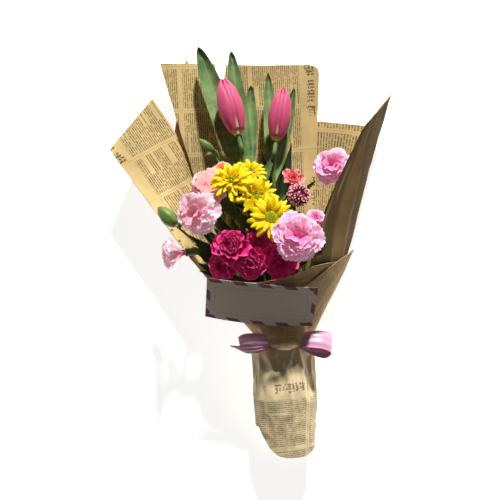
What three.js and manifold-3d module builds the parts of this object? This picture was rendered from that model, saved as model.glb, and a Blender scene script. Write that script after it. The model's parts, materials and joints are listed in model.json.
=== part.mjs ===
// Mixed flower bouquet in printed kraft paper, laid on its back. Millimetres.
// +Z points up off the surface, +Y runs from the cut stems to the blooms, and +X is the
// right-hand side seen from above. The origin is on the flat back of the outer paper, on the
// surface that the bouquet lies on.

import * as THREE from 'three';
import { mergeVertices } from 'three/addons/utils/BufferGeometryUtils.js';
import Module from 'manifold-3d';

const wasm = await Module();
wasm.setup();

// Paper and clearances. LAYER is the pitch from one wrapped sheet to the next.
const PAPER = 0.8;
const LAYER = 1.6;
const GAP = 0.35;
const BLADE = 1.0;
const MERGE = 0.12;

// The paper cone is ruled from the tied neck to a wide ring under the blooms. half is its
// half-width, front and back are its reach above and below its own centre line.
const NECK = { y: -95, x: 15, z: 30, half: 28, front: 20.5, back: 20.5, power: 2 };
const RING = { y: -10, x: -2, z: 50, half: 83, front: 62, back: 54, frontPower: 2.4, backPower: 3 };
const CONE_END = -110;
const COLUMN = 12;

// The sleeve round the stems, and its rounded lower rim.
const SLEEVE = { layer: 4.3, top: -98, end: -229, corner: 33, middle: 25, reach: 40, roundness: 3.5 };

// The satin ribbon: its gathered band at the neck and the width of its loops.
const RIBBON = { layer: 5, top: -96, bottom: -107, thick: 0.8, loopWidth: 21, knotWidth: 8 };

// The greeting card, 115 mm by 52 mm, tilted down towards the neck.
const CARD = { width: 115, height: 52, thick: 0.8, x: -11, y: -57, z: 86.2, tilt: 32, turn: -5, sagTop: 2, sagEnd: 6 };

// Cut stems: radius, pitch of the bundle, and where they end.
const STEM = { radius: 2.7, thin: 1.5, end: -214, firstX: 6.45, firstZ: 16.6, pitch: 5.7, rise: 5 };

const COLOUR = {
  kraft: '#c9a66b', card: '#b9aca6', ribbon: '#b9899f', rubber: '#8f7a55',
  pink: '#e9a6c0', salmon: '#e8a1a0', peach: '#e58a4c', yellow: '#f2dc16', disc: '#8fae1f',
  magenta: '#b31b62', coral: '#e2626c', burgundy: '#6e1f3f', tulip: '#cf4f7c',
  stem: '#6f9146', leaf: '#3f6b35', calyx: '#7c9c50', dark: '#33502c',
};

const bouquet = new THREE.Group();
const V = (x, y, z) => new THREE.Vector3(x, y, z);
const { lerp, degToRad, smoothstep } = THREE.MathUtils;

// Small helpers

// A repeatable draw between 0 and 1 for copy i of the thing numbered seed.
function draw(seed, i) {
  const wave = Math.sin(seed * 12.9898 + i * 78.233) * 43758.5453;
  return wave - Math.floor(wave);
}

function solidOf(geometry) {
  const bare = geometry.index ? geometry.clone() : geometry;
  bare.deleteAttribute('normal');
  bare.deleteAttribute('uv');
  const merged = mergeVertices(bare, 1e-5);
  return new wasm.Manifold(new wasm.Mesh({
    numProp: 3,
    vertProperties: new Float32Array(merged.attributes.position.array),
    triVerts: new Uint32Array(merged.index.array),
  }));
}

function geometryOf(solid) {
  const { vertProperties, triVerts } = solid.getMesh();
  const geometry = new THREE.BufferGeometry();
  geometry.setAttribute('position', new THREE.BufferAttribute(new Float32Array(vertProperties), 3));
  geometry.setIndex(new THREE.BufferAttribute(new Uint32Array(triVerts), 1));
  return geometry;
}

// A solid from a list of points and of triangles given as triples of point numbers.
function solidFrom(points, triangles) {
  return new wasm.Manifold(new wasm.Mesh({
    numProp: 3,
    vertProperties: new Float32Array(points.flatMap((p) => [p.x, p.y, p.z])),
    triVerts: new Uint32Array(triangles.flat()),
  }));
}

function union(solids) {
  return wasm.Manifold.union(solids);
}

// Unit normals of a grid of points, from its neighbours along and across.
function gridNormals(grid, closed) {
  const last = grid.length - 1;
  return grid.map((row, i) => row.map((p, j) => {
    const before = closed ? grid[(i + last) % (last + 1)] : grid[Math.max(i - 1, 0)];
    const after = closed ? grid[(i + 1) % (last + 1)] : grid[Math.min(i + 1, last)];
    const along = after[j].clone().sub(before[j]);
    const across = row[Math.min(j + 1, row.length - 1)].clone().sub(row[Math.max(j - 1, 0)]);
    return along.cross(across).normalize();
  }));
}

// A sheet of even thickness round a grid of mid-surface points. Both faces are split alike.
// A closed sheet joins its last row to its first, like a tube wall.
function sheet(grid, thickness, { closed = false, fit = null } = {}) {
  const normals = gridNormals(grid, closed);
  const rows = grid.length;
  const columns = grid[0].length;
  const points = [];
  for (const side of [0.5, -0.5]) {
    grid.forEach((row, i) => row.forEach((p, j) => {
      const point = p.clone().addScaledVector(normals[i][j], side * thickness);
      points.push(fit ? fit(point, p, side) : point);
    }));
  }
  const at = (i, j, face) => face * rows * columns + (i % rows) * columns + j;
  const triangles = [];
  const quad = (a, b, c, d) => triangles.push([a, b, c], [a, c, d]);
  for (let i = 0; i < (closed ? rows : rows - 1); i += 1) {
    for (let j = 0; j < columns - 1; j += 1) {
      quad(at(i, j, 0), at(i + 1, j, 0), at(i + 1, j + 1, 0), at(i, j + 1, 0));
      triangles.push([at(i, j, 1), at(i + 1, j + 1, 1), at(i + 1, j, 1)]);
      triangles.push([at(i, j, 1), at(i, j + 1, 1), at(i + 1, j + 1, 1)]);
    }
    quad(at(i + 1, 0, 0), at(i, 0, 0), at(i, 0, 1), at(i + 1, 0, 1));
    const end = columns - 1;
    quad(at(i, end, 0), at(i + 1, end, 0), at(i + 1, end, 1), at(i, end, 1));
  }
  if (!closed) {
    for (let j = 0; j < columns - 1; j += 1) {
      quad(at(0, j, 0), at(0, j + 1, 0), at(0, j + 1, 1), at(0, j, 1));
      const end = rows - 1;
      quad(at(end, j + 1, 0), at(end, j, 0), at(end, j, 1), at(end, j + 1, 1));
    }
  }
  return solidFrom(points, triangles);
}

// A petal or leaf: a grid whose two faces meet at its outline and stand apart inside it. Root
// points that share one place become one point.
function blade(grid, thickness = BLADE) {
  const normals = gridNormals(grid, false);
  const rows = grid.length;
  const columns = grid[0].length;
  const edge = (i, j) => i === 0 || j === 0 || i === rows - 1 || j === columns - 1;
  const points = [];
  const number = [[], []];
  grid.forEach((row, i) => row.forEach((p, j) => {
    if (i > 0 && j === 0 && p.distanceTo(grid[0][0]) < 1e-6) {
      number[0].push(0);
      number[1].push(0);
      return;
    }
    if (edge(i, j)) {
      number[0].push(points.length);
      number[1].push(points.length);
      points.push(p);
      return;
    }
    [0.5, -0.5].forEach((side, face) => {
      number[face].push(points.length);
      points.push(p.clone().addScaledVector(normals[i][j], side * thickness));
    });
  }));
  const triangles = [];
  for (let i = 0; i < rows - 1; i += 1) {
    for (let j = 0; j < columns - 1; j += 1) {
      const corners = [[i, j], [i + 1, j], [i + 1, j + 1], [i, j + 1]];
      const [a, b, c, d] = corners.map(([r, s]) => number[0][r * columns + s]);
      const [e, f, g, h] = corners.map(([r, s]) => number[1][r * columns + s]);
      // The diagonal never joins two outline points across a corner of the grid.
      const turn = (i === 0 && j === 0) || (i === rows - 2 && j === columns - 2);
      if (turn) {
        triangles.push([a, b, c], [a, c, d], [e, g, f], [e, h, g]);
      } else {
        triangles.push([a, b, d], [b, c, d], [e, h, f], [f, h, g]);
      }
    }
  }
  return solidFrom(points, triangles.filter(([a, b, c]) => a !== b && b !== c && c !== a));
}

// A round stem through the given points, widening evenly from its first to its last point.
function tube(points, startRadius, endRadius = startRadius, steps = 7, sides = 5) {
  const curve = new THREE.CatmullRomCurve3(points, false, 'centripetal');
  const frames = curve.computeFrenetFrames(steps, false);
  const ring = [];
  for (let i = 0; i <= steps; i += 1) {
    const centre = curve.getPointAt(i / steps);
    const radius = lerp(startRadius, endRadius, i / steps);
    for (let k = 0; k < sides; k += 1) {
      const angle = (2 * Math.PI * k) / sides;
      ring.push(centre.clone()
        .addScaledVector(frames.normals[i], radius * Math.cos(angle))
        .addScaledVector(frames.binormals[i], radius * Math.sin(angle)));
    }
  }
  const triangles = [];
  for (let i = 0; i < steps; i += 1) {
    for (let k = 0; k < sides; k += 1) {
      const [a, b] = [i * sides + k, i * sides + ((k + 1) % sides)];
      const [c, d] = [a + sides, b + sides];
      triangles.push([a, b, d], [a, d, c]);
    }
  }
  for (let k = 1; k < sides - 1; k += 1) {
    triangles.push([0, k + 1, k]);
    const end = steps * sides;
    triangles.push([end, end + k, end + k + 1]);
  }
  return solidFrom(ring, triangles);
}

// A solid turned about the bloom's own axis from a profile of [radius, height] points.
function turned(profile, sides = 8) {
  const points = profile.map(([radius, height]) => new THREE.Vector2(radius, height));
  const lathe = new THREE.LatheGeometry(points, sides);
  lathe.rotateX(Math.PI / 2);
  return solidOf(lathe);
}

// The frame of a bloom: its own +Z is the way it faces, and its origin is the middle of its face.
function bloomFrame({ at, facing, spin = 0 }) {
  const axis = V(...facing).normalize();
  const side = V(0, 1, 0).cross(axis).normalize();
  const up = axis.clone().cross(side);
  const frame = new THREE.Matrix4().makeBasis(side, up, axis).setPosition(V(...at));
  return frame.multiply(new THREE.Matrix4().makeRotationZ(degToRad(spin)));
}

// A point of a bloom, given by its angle round the axis, its radius and its height.
function polar(angle, radius, height) {
  return V(radius * Math.cos(angle), radius * Math.sin(angle), height);
}

// Bends a point back behind the bowl-shaped underside of each bloom that lies in front of it.
function bendBehind(point, blooms) {
  for (const { at, facing, radius, depth, droop = 2 } of blooms) {
    const axis = V(...facing).normalize();
    const away = point.clone().sub(V(...at));
    const height = away.dot(axis);
    const spread = (away.lengthSq() - height * height) / (radius * radius);
    const limit = -depth + (depth - droop) * spread - BLADE - GAP;
    if (height > limit) point.addScaledVector(axis, limit - height);
  }
  return point;
}

// Adds one named piece to the bouquet.
const pieces = [];
function place(name, solid, colour, roughness = 0.7) {
  const bodies = solid.simplify(MERGE).decompose().sort((a, b) => b.volume() - a.volume());
  pieces.push({ name, solid: bodies[0], colour, roughness });
}

// Petals

// One petal of a ring of blades, from a pointed claw to a broad tip. path gives the radius and
// height along it, width its half-width, and ripple how far its outer edge waves. A wrapped petal follows its own circle
// round the axis, with one side wrap outside the circle and the other side wrap inside it.
function petalGrid({ angle, path, width, ripple = 0, waves = 2, cup = 0, across = 4, along = 2, seed = 0,
  wrap = 0 }) {
  const phase = draw(seed, 1) < 0.5 ? 0 : Math.PI;
  const grid = [];
  for (let i = 0; i <= across; i += 1) {
    const s = (2 * i) / across - 1;
    const row = [];
    for (let j = 0; j <= along; j += 1) {
      const t = (j / along) * (1 - 0.1 * s * s);
      const [radius, height] = path(t);
      const open = s * Math.min(2 * t, 1);
      const side = width(t) * open;
      const wave = ripple * t * t * Math.cos(phase + Math.PI * waves * s);
      const high = height + wave + cup * s * s * t;
      if (wrap) {
        row.push(polar(angle + side / radius, radius + wrap * open, high));
        continue;
      }
      const p = polar(angle, radius, high);
      p.x -= side * Math.sin(angle);
      p.y += side * Math.cos(angle);
      row.push(p);
    }
    grid.push(row);
  }
  return grid;
}

// A smooth path of [radius, height] from a root, past a bend, to a tip.
function bent(root, bend, tip) {
  return (t) => [0, 1].map((k) => (
    (1 - t) * (1 - t) * root[k] + 2 * t * (1 - t) * bend[k] + t * t * tip[k]));
}

function petalsOf(bloom, grids) {
  const frame = bloomFrame(bloom);
  return grids.map((grid) => {
    const placed = grid.map((row) => row.map((p, j) => (
      bendBehind(p.clone().applyMatrix4(frame), j > 0 && bloom.behind ? bloom.behind : []))));
    return blade(placed);
  });
}

function coreOf(bloom, profile, sides) {
  return turned(profile, sides).transform(bloomFrame(bloom).elements);
}

// A carnation: rings of fan-shaped rippled petals rise round a small core.
function carnationPetals(bloom) {
  const R = bloom.radius;
  const rings = bloom.full ? [
    { count: 6, root: [0.22 * R, -0.22 * R], bend: [0.6 * R, -0.3 * R], tip: [R, -0.02 * R], turn: 29 },
    { count: 5, root: [0.2 * R, -0.1 * R], bend: [0.46 * R, -0.04 * R], tip: [0.82 * R, 0.26 * R], turn: 35 },
    { count: 3, root: [0.12 * R, 0], bend: [0.3 * R, 0.08 * R], tip: [0.5 * R, 0.44 * R], turn: 57 },
  ] : [
    { count: 5, root: [0.2 * R, -0.25 * R], bend: [0.6 * R, -0.3 * R], tip: [R, 0.04 * R], turn: 35 },
    { count: 3, root: [0.14 * R, 0], bend: [0.3 * R, 0.06 * R], tip: [0.56 * R, 0.42 * R], turn: 57 },
  ];
  const grids = [];
  rings.forEach(({ count, root, bend, tip, turn }, ring) => {
    for (let i = 0; i < count; i += 1) {
      const seed = bloom.seed + 10 * ring + i;
      const reach = 0.94 + 0.1 * draw(seed, 3);
      const path = bent(root, bend, [tip[0] * reach, tip[1]]);
      grids.push(petalGrid({
        angle: (2 * Math.PI * (i + 0.5 * ring)) / count,
        path,
        width: (t) => degToRad(turn) * path(t)[0],
        wrap: 0.5,
        ripple: 0.08 * R,
        seed,
      }));
    }
  });
  const core = coreOf(bloom, [
    [0, -bloom.depth], [2.6, -bloom.depth], [0.34 * R, -0.2 * R], [0.3 * R, 0.06 * R], [0, 0.24 * R],
  ], 6);
  return union([core, ...petalsOf(bloom, grids)]);
}

// The half-open carnation: a short trumpet of petals that leans out of its cup.
function carnationTrumpet(bloom) {
  const R = bloom.radius;
  const H = bloom.depth;
  const grids = [0, 1, 2, 3, 4].map((i) => {
    const reach = R * (0.85 + 0.2 * draw(bloom.seed, i));
    const path = bent([0.12 * R, -0.8 * H], [0.4 * R, -0.5 * H], [reach, (i % 2) * 2]);
    return petalGrid({
      angle: (2 * Math.PI * i) / 5, path, width: (t) => degToRad(35) * path(t)[0], wrap: 0.5, ripple: 0.09 * R,
      seed: bloom.seed + i,
    });
  });
  const core = coreOf(bloom, [[0, -H], [2.8, -H], [3.8, -0.7 * H], [0.3 * R, -0.3 * H], [0, -0.2 * H]], 6);
  return union([core, ...petalsOf(bloom, grids)]);
}

// A daisy chrysanthemum: a ring round the neck of the disc carries two rounds of ray florets.
const MUM = { neck: 2.4, ring: 5.2, ringThick: 2.2, disc: 5.5 };

function mumRays(bloom) {
  const R = bloom.radius;
  const grids = [];
  const rounds = [{ count: 12, reach: 1, rise: 0, root: -3.9 }, { count: 5, reach: 0.82, rise: 4, root: -3.5 }];
  rounds.forEach((round, ring) => {
    for (let i = 0; i < round.count; i += 1) {
      const seed = bloom.seed + 20 * ring + i;
      const reach = R * round.reach * (0.93 + 0.12 * draw(seed, 1));
      const rise = round.rise + 1.6 * draw(seed, 2);
      grids.push(petalGrid({
        angle: (2 * Math.PI * (i + 0.5 * ring)) / round.count,
        path: bent([4, round.root], [0.5 * R, -1.8 + 0.7 * rise], [reach, rise - 0.6]),
        width: (t) => Math.min(0.15 * R, 3.3) - 1.4 * smoothstep(t, 0.75, 1),
        across: 2,
        cup: 0.9,
        seed,
      }));
    }
  });
  const outer = MUM.ring;
  const inner = MUM.neck + GAP;
  const [top, end] = [-2.4, -2.4 - MUM.ringThick];
  const ring = coreOf(bloom, [[inner, end], [outer, end], [outer, top], [inner, top], [inner, end]], 8);
  return union([ring, ...petalsOf(bloom, grids)]);
}

// The green disc in front of the rays, its neck, and the bracts behind them.
function mumDisc(bloom) {
  const front = -2.4 + GAP;
  const back = -2.4 - MUM.ringThick - GAP;
  const { neck, disc } = MUM;
  return coreOf(bloom, [
    [0, back - 4], [4.8, back], [neck, back], [neck, front],
    [disc, front], [disc * 0.86, front + 2.2], [0, front + 3.4],
  ], 8);
}

// A spray rose: rings of broad shells, each rolled outwards at its rim, round a tight bud.
function rosePetals(bloom) {
  const R = bloom.radius;
  const H = bloom.depth;
  const rings = [
    { count: 5, root: [0.44 * R, -0.78 * R], bend: [1.02 * R, -0.86 * R], tip: [R, -0.2 * R], turn: 40 },
    { count: 3, root: [0.4 * R, -0.36 * R], bend: [0.74 * R, -0.4 * R], tip: [0.62 * R, 0.08 * R], turn: 64 },
  ];
  const grids = [];
  rings.forEach(({ count, root, bend, tip, turn }, ring) => {
    for (let i = 0; i < count; i += 1) {
      const path = bent(root, bend, tip);
      grids.push(petalGrid({
        angle: (2 * Math.PI * (i + 0.45 * ring)) / count + draw(bloom.seed, ring),
        path,
        width: (t) => degToRad(turn) * path(t)[0],
        wrap: 0.055 * R,
        cup: -0.1 * R,
        across: ring ? 4 : 3,
        seed: bloom.seed + i,
      }));
    }
  });
  const core = coreOf(bloom, [
    [0, -H], [3, -H], [0.62 * R, -0.76 * R], [0.56 * R, -0.4 * R], [0.34 * R, 0.06 * R], [0, 0.1 * R],
  ], 6);
  return union([core, ...petalsOf(bloom, grids)]);
}

// A closed tulip: three inner and three outer tepals lean together round an egg-shaped bud. Each
// station up a tepal is its height and radius, as parts of the bloom's, and its half-angle.
function tulipTepals(bloom) {
  const { radius: R, length: L } = bloom;
  const rounds = [
    { size: 0.9, across: 2, stations: [[0.1, 0.6, 0.7], [0.42, 0.98, 0.9], [0.76, 0.76, 0.7], [0.97, 0.16, 0.2]] },
    { size: 1, across: 4, stations: [
      [0, 0.2, 0.6], [0.11, 0.66, 0.86], [0.42, 1, 0.96], [0.76, 0.78, 0.8], [1, 0.14, 0.3],
    ] },
  ];
  const grids = [];
  rounds.forEach(({ size, across, stations }, ring) => {
    for (let i = 0; i < 3; i += 1) {
      const angle = (2 * Math.PI * (i + 0.5 * ring)) / 3 + 0.3;
      const grid = [];
      for (let a = 0; a <= across; a += 1) {
        const s = (2 * a) / across - 1;
        grid.push(stations.map(([height, radius, spread]) => (
          polar(angle + s * spread, size * R * radius + 0.4 - 0.6 * Math.abs(s), height * L))));
      }
      grids.push(grid);
    }
  });
  const core = coreOf(bloom, [
    [0, 0], [0.3 * R, 0], [0.7 * R, 0.2 * L], [0.66 * R, 0.56 * L], [0, 0.9 * L],
  ], 6);
  return union([core, ...petalsOf(bloom, grids)]);
}

// The burgundy filler: short pointed florets stand out of a rounded head.
function fillerHead(bloom) {
  const R = bloom.radius;
  const solids = [coreOf(bloom, [
    [0, -R], [1.6, -R], [0.66 * R, -0.3 * R], [0.72 * R, 0.2 * R], [0.4 * R, 0.56 * R], [0, 0.62 * R],
  ], 8)];
  const frame = bloomFrame(bloom);
  const golden = Math.PI * (3 - Math.sqrt(5));
  for (let i = 0; i < bloom.florets; i += 1) {
    const height = 0.94 - (1.5 * i) / bloom.florets;
    const ring = Math.sqrt(Math.max(1 - height * height, 0));
    const out = V(ring * Math.cos(i * golden), ring * Math.sin(i * golden), height);
    const cone = new THREE.ConeGeometry(2, 0.62 * R, 4, 1);
    cone.rotateX(-Math.PI / 2);
    const spike = solidOf(cone);
    const turn = new THREE.Matrix4().makeRotationFromQuaternion(
      new THREE.Quaternion().setFromUnitVectors(V(0, 0, -1), out));
    turn.setPosition(out.clone().multiplyScalar(0.74 * R));
    solids.push(spike.transform(frame.clone().multiply(turn).elements));
  }
  return union(solids);
}

// Green parts

// The cup that holds a carnation's petals, or a rose's hip with its sepals.
function cupOf(bloom, length, mouth, foot) {
  const top = -bloom.depth - GAP;
  return coreOf(bloom, [
    [0, top - length], [foot, top - length], [mouth * 0.95, top - 0.6 * length], [mouth, top], [0, top],
  ], 6);
}

function backOf(bloom, distance) {
  return V(...bloom.at).addScaledVector(V(...bloom.facing).normalize(), -distance);
}

// A branch from the back of a bloom to a point on the stem that carries it.
function branch(bloom, distance, through, end, radius = STEM.thin) {
  const start = backOf(bloom, distance - 1.5);
  const straight = backOf(bloom, distance + 8);
  return tube([start, straight, ...through, end], radius, radius * 1.25, 4, 4);
}

// Where a stem stands in the tied bundle: row by row, from the back upwards.
function slot(row, column) {
  return [STEM.firstX + STEM.pitch * (column + (row % 2) / 2), STEM.firstZ + STEM.rise * row];
}

// A main stem from its first fork down through the neck to its cut end.
function mainStem(points, [x, z]) {
  const { radius } = STEM;
  const lower = [V(x, NECK.y + 12, z), V(x, NECK.y - 10, z), V(x + 1, STEM.end, z - 2)];
  return tube([...points, ...lower], radius * 0.85, radius, 8);
}

// A narrow leaf, as wide as width and arched by sag, from its pointed claw behind the root on
// its stem to its tip.
function leaf({ root, tip, width, sag = 4, across = 2, along = 5 }) {
  const [start, end] = [V(...root), V(...tip)];
  start.addScaledVector(end.clone().sub(start).normalize(), -3);
  const run = end.clone().sub(start);
  const side = run.clone().cross(V(0, 0, 1)).normalize();
  const grid = [];
  for (let i = 0; i <= across; i += 1) {
    const s = (2 * i) / across - 1;
    const row = [];
    for (let j = 0; j <= along; j += 1) {
      const t = j / along;
      const half = 0.5 * width * (0.3 + 0.7 * Math.sin(Math.PI * (t * 0.78 + 0.1))) * (1 - t ** 3) + 0.3;
      const open = Math.min(4 * t, 1);
      const p = start.clone().addScaledVector(run, t).addScaledVector(side, s * half * open);
      p.z += sag * Math.sin(Math.PI * t) + 0.12 * width * s * s * open;
      row.push(p);
    }
    grid.push(row);
  }
  return blade(grid, 1.3);
}

// A closed green carnation bud with its pointed tip, facing from base to tip.
function bud(base, tip, radius) {
  const [start, end] = [V(...base), V(...tip)];
  const length = start.distanceTo(end);
  const facing = end.clone().sub(start).toArray();
  return coreOf({ at: base, facing }, [
    [0, -2], [0.5 * radius, -1], [radius, 0.3 * length], [0.86 * radius, 0.66 * length], [0, length],
  ], 7);
}

// Paper

// A point of the ruled paper cone of one layer, at a column angle in degrees.
function conePoint(angle, y, layer) {
  const [c, s] = [Math.cos(degToRad(angle)), Math.sin(degToRad(angle))];
  const corner = (end, power) => {
    const half = end.half + LAYER * layer;
    const deep = (s > 0 ? end.front : end.back) + LAYER * layer;
    const x = end.x + half * Math.sign(c) * Math.abs(c) ** (2 / power);
    const z = end.z + deep * Math.sign(s) * Math.abs(s) ** (2 / power);
    const floor = PAPER / 2 + 1.6 * LAYER * Math.max(1 - layer, 0);
    return V(x, end.y, Math.max(z, floor));
  };
  const neck = corner(NECK, NECK.power);
  const ring = corner(RING, s > 0 ? RING.frontPower : RING.backPower);
  const rise = (y - NECK.y) / (RING.y - NECK.y);
  const point = neck.clone().lerp(ring, Math.max(rise, 0));
  point.y = y;
  return point;
}

// Keeps the outer face of a sheet that touches the surface exactly flat on it.
function restFlat(point, middle) {
  if (middle.z > PAPER / 2 + 1e-6) return V(point.x, point.y, Math.max(point.z, 0.02));
  return V(middle.x, middle.y, point.z < middle.z ? 0 : PAPER);
}

// The heights of a wrapped sheet's points up one column, from the neck to its rim.
function coneColumn(angle, rimY, layer, endY = CONE_END) {
  const heights = [endY, NECK.y, lerp(NECK.y, rimY, 0.34), lerp(NECK.y, rimY, 0.67), rimY];
  return heights.map((y) => conePoint(angle, y, layer));
}

// A column that goes on past the ring to a free top corner, bowed sideways by bow.
function flaredColumn(angle, [x, y, z], layer, bow = 0) {
  const lower = [CONE_END, NECK.y, -66, -38, RING.y].map((h) => conePoint(angle, h, layer));
  const ring = lower[lower.length - 1];
  const top = V(x, y, z);
  const bend = ring.clone().lerp(top, 0.4).add(V(bow, 0, 0));
  const upper = [1 / 3, 2 / 3, 1].map((t) => ring.clone().multiplyScalar((1 - t) * (1 - t))
    .addScaledVector(bend, 2 * t * (1 - t)).addScaledVector(top, t * t));
  return [...lower, ...upper];
}

// The large outer sheet: from its left corner round the back to the rolled flap on the right.
function outerSheet() {
  const tops = [
    [-175.9, 109.9, 45], [-154, 141, 32], [-132.8, 171.9, 17], [-108, 136, 5], [-95.5, 220.6, 3],
    [-60, 150, 1], [-40, 150, 0.4], [-10, 150, 0.4], [15, 150, 0.4], [36, 150, 0.4],
    [55, 148.6, 2], [84, 145, 7], [110.4, 141.5, 12], [124, 160, 18], [136, 174.8, 28],
    [130, 166, 37], [123, 158, 47], [115, 149, 57], [109, 142, 65], [105, 138, 70], [101.2, 133.8, 74],
  ];
  const bows = { 17: -3, 18: -7, 19: -12, 20: -17 };
  const columns = tops.map((top, i) => flaredColumn(180 + COLUMN * i, top, 1, bows[i]));
  return sheet(columns, PAPER, { fit: restFlat });
}

// The two tall back panels, one sheet with a V between them.
function backPanels() {
  const tops = [
    [-124, 211.5, 16], [-95, 212.4, 13], [-62.3, 212.8, 9], [-54.2, 172.8, 8], [-49.6, 211.7, 9],
    [0, 211.5, 8], [48, 212, 8], [57, 203, 8],
  ];
  const angles = [236, 243, 250, 255, 260, 276, 294, 300];
  return sheet(tops.map((top, i) => flaredColumn(angles[i], top, 0)), PAPER);
}

// The front-left wrap: round the left side and the front, with a low rim under the roses.
function frontLeftWrap() {
  const rims = [-12, -12, -13, -16, -22, -29, -33, -34, -34, -33, -32, -31, -32, -35, -44, -58];
  return sheet(rims.map((rim, i) => coneColumn(24 + COLUMN * i, rim, 2)), PAPER);
}

// The front-right wrap: round the right side, with a diagonal free edge at the front and a
// lip that hangs over the tied ribbon.
function frontRightWrap() {
  const rims = [-25, -12, -5, 0, 0, -3, -9, -19, -31, -42, -54, -64, -74, -82, -86];
  const lipEnds = { 6: -97, 7: -95.5, 8: -94, 9: -103, 10: -107, 11: -107, 12: -103, 13: -94, 14: -95.5 };
  const lipReach = { 8: 9, 9: 12, 10: 13, 11: 13, 12: 12, 13: 9 };
  const centre = V(NECK.x, 0, NECK.z);
  return sheet(rims.map((rim, i) => {
    const angle = -36 + COLUMN * i;
    if (!(i in lipEnds)) return coneColumn(angle, rim, 3);
    const heights = [lipEnds[i], lerp(lipEnds[i], -88, 0.5), -87, lerp(-87, rim, 0.5), rim];
    return heights.map((y) => {
      const point = conePoint(angle, y, 3);
      const out = point.clone().sub(centre).setY(0).normalize();
      return point.addScaledVector(out, (lipReach[i] ?? 0) * smoothstep(-y, 80, 94));
    });
  }), PAPER);
}

// The sleeve: a tube round the stems with a rounded lower rim.
function sleeveTube() {
  const { layer, top, end, corner, middle, reach, roundness } = SLEEVE;
  const stations = [
    { y: top, x: NECK.x, z: NECK.z, half: NECK.half + LAYER * layer, deep: NECK.front + LAYER * layer },
    { y: -110, x: NECK.x, z: NECK.z, half: NECK.half + LAYER * layer, deep: NECK.front + LAYER * layer },
    { y: -165, x: 17.5, z: 29, half: 35.5, deep: 26 },
    { y: end, x: 19.5, z: 25, half: 31.5, deep: 18 },
  ];
  const grid = [];
  for (let angle = 0; angle < 360; angle += COLUMN) {
    const [c, s] = [Math.cos(degToRad(angle)), Math.sin(degToRad(angle))];
    const x = stations[2].x + stations[2].half * c;
    const rimY = end + corner * Math.min(Math.abs((x - middle) / reach) ** roundness, 1);
    const heights = [top, -110, lerp(-110, rimY, 0.5), rimY];
    grid.push(heights.map((y) => {
      const next = Math.max(stations.findIndex((station) => station.y <= y), 1);
      const [a, b] = [stations[next - 1], stations[next]];
      const t = (y - a.y) / (b.y - a.y);
      const mix = (key) => lerp(a[key], b[key], t);
      return V(mix('x') + mix('half') * c, y, mix('z') + mix('deep') * s);
    }));
  }
  return sheet(grid, PAPER, { closed: true });
}

// The card, bent a little round the cone, most at its lower edge.
function cardSheet() {
  const { width, height, thick, x, y, z, tilt, turn, sagTop, sagEnd } = CARD;
  const frame = new THREE.Matrix4().makeTranslation(x, y, z)
    .multiply(new THREE.Matrix4().makeRotationZ(degToRad(turn)))
    .multiply(new THREE.Matrix4().makeRotationX(degToRad(tilt)));
  const grid = [];
  for (let i = 0; i <= 6; i += 1) {
    const s = i / 3 - 1;
    grid.push([0, 0.5, 1].map((t) => (
      V(0.5 * width * s, (0.5 - t) * height, -lerp(sagTop, sagEnd, t) * s * s).applyMatrix4(frame))));
  }
  return sheet(grid, thick);
}

// Ribbon

// One loop of satin: out from the knot, round, and back into it, widest at its far end.
function ribbonLoop(points, widths, lean) {
  const path = new THREE.CatmullRomCurve3(points, false, 'centripetal');
  const steps = 8;
  const grid = [];
  for (let i = 0; i <= steps; i += 1) {
    const t = i / steps;
    const middle = path.getPoint(t);
    const width = lerp(widths[0], widths[1], Math.sin(Math.PI * t) ** 2);
    grid.push([-0.5, 0, 0.5].map((s) => (
      middle.clone().add(V(lean * s * width, s * width, 0.12 * width * (1 - 4 * s * s))))));
  }
  return sheet(grid, RIBBON.thick);
}

function ribbonBow() {
  const { layer, top, bottom, thick, loopWidth, knotWidth } = RIBBON;
  const band = [];
  for (let angle = 0; angle < 360; angle += COLUMN) {
    band.push([bottom, top].map((y) => conePoint(angle, NECK.y, layer).setY(y)));
  }
  const knot = new THREE.SphereGeometry(1, 6, 4);
  knot.scale(6, 5.4, 2.4);
  knot.translate(15, 0.5 * (top + bottom), 60.6);
  const right = ribbonLoop([
    V(17, -101, 61.2), V(26, -101.5, 61.6), V(34, -102, 58.8), V(45, -103, 62), V(58, -105, 61.5),
    V(67.5, -108, 55), V(58, -105, 51), V(42, -102, 54), V(32, -101, 55.6),
  ], [knotWidth, loopWidth], 0.1);
  const left = ribbonLoop([
    V(13, -101, 61.2), V(4, -101.5, 61.6), V(-4, -102, 58.8), V(-14, -103, 61.5), V(-26, -102, 60),
    V(-34, -99, 54), V(-26, -98.5, 50), V(-12, -100, 52), V(-3, -101, 55.2),
  ], [knotWidth, loopWidth - 4], -0.15);
  const tail = ribbonLoop([
    V(12, -103, 59.9), V(0, -104, 59.9), V(-11, -107, 64.5), V(-24, -108.5, 62), V(-41, -106, 53),
  ], [3, 14], 0.2);
  return union([sheet(band, thick, { closed: true }), solidOf(knot), right, left, tail]);
}

// The band that holds the bundle of stems inside the neck.
function stemBand() {
  const [left, bottom] = slot(0, 0);
  const [right, top] = slot(2, 3);
  const reach = STEM.radius + GAP + 1.1;
  const corners = [[right, top, 0], [left, top, 90], [left, bottom, 180], [right, bottom, 270]];
  const grid = corners.flatMap(([x, z, start]) => [0, 30, 60, 90].map((turn) => {
    const angle = degToRad(start + turn);
    return [-104, -98].map((y) => V(x + reach * Math.cos(angle), y, z + reach * Math.sin(angle)));
  }));
  return sheet(grid, 1.5, { closed: true });
}

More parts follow.
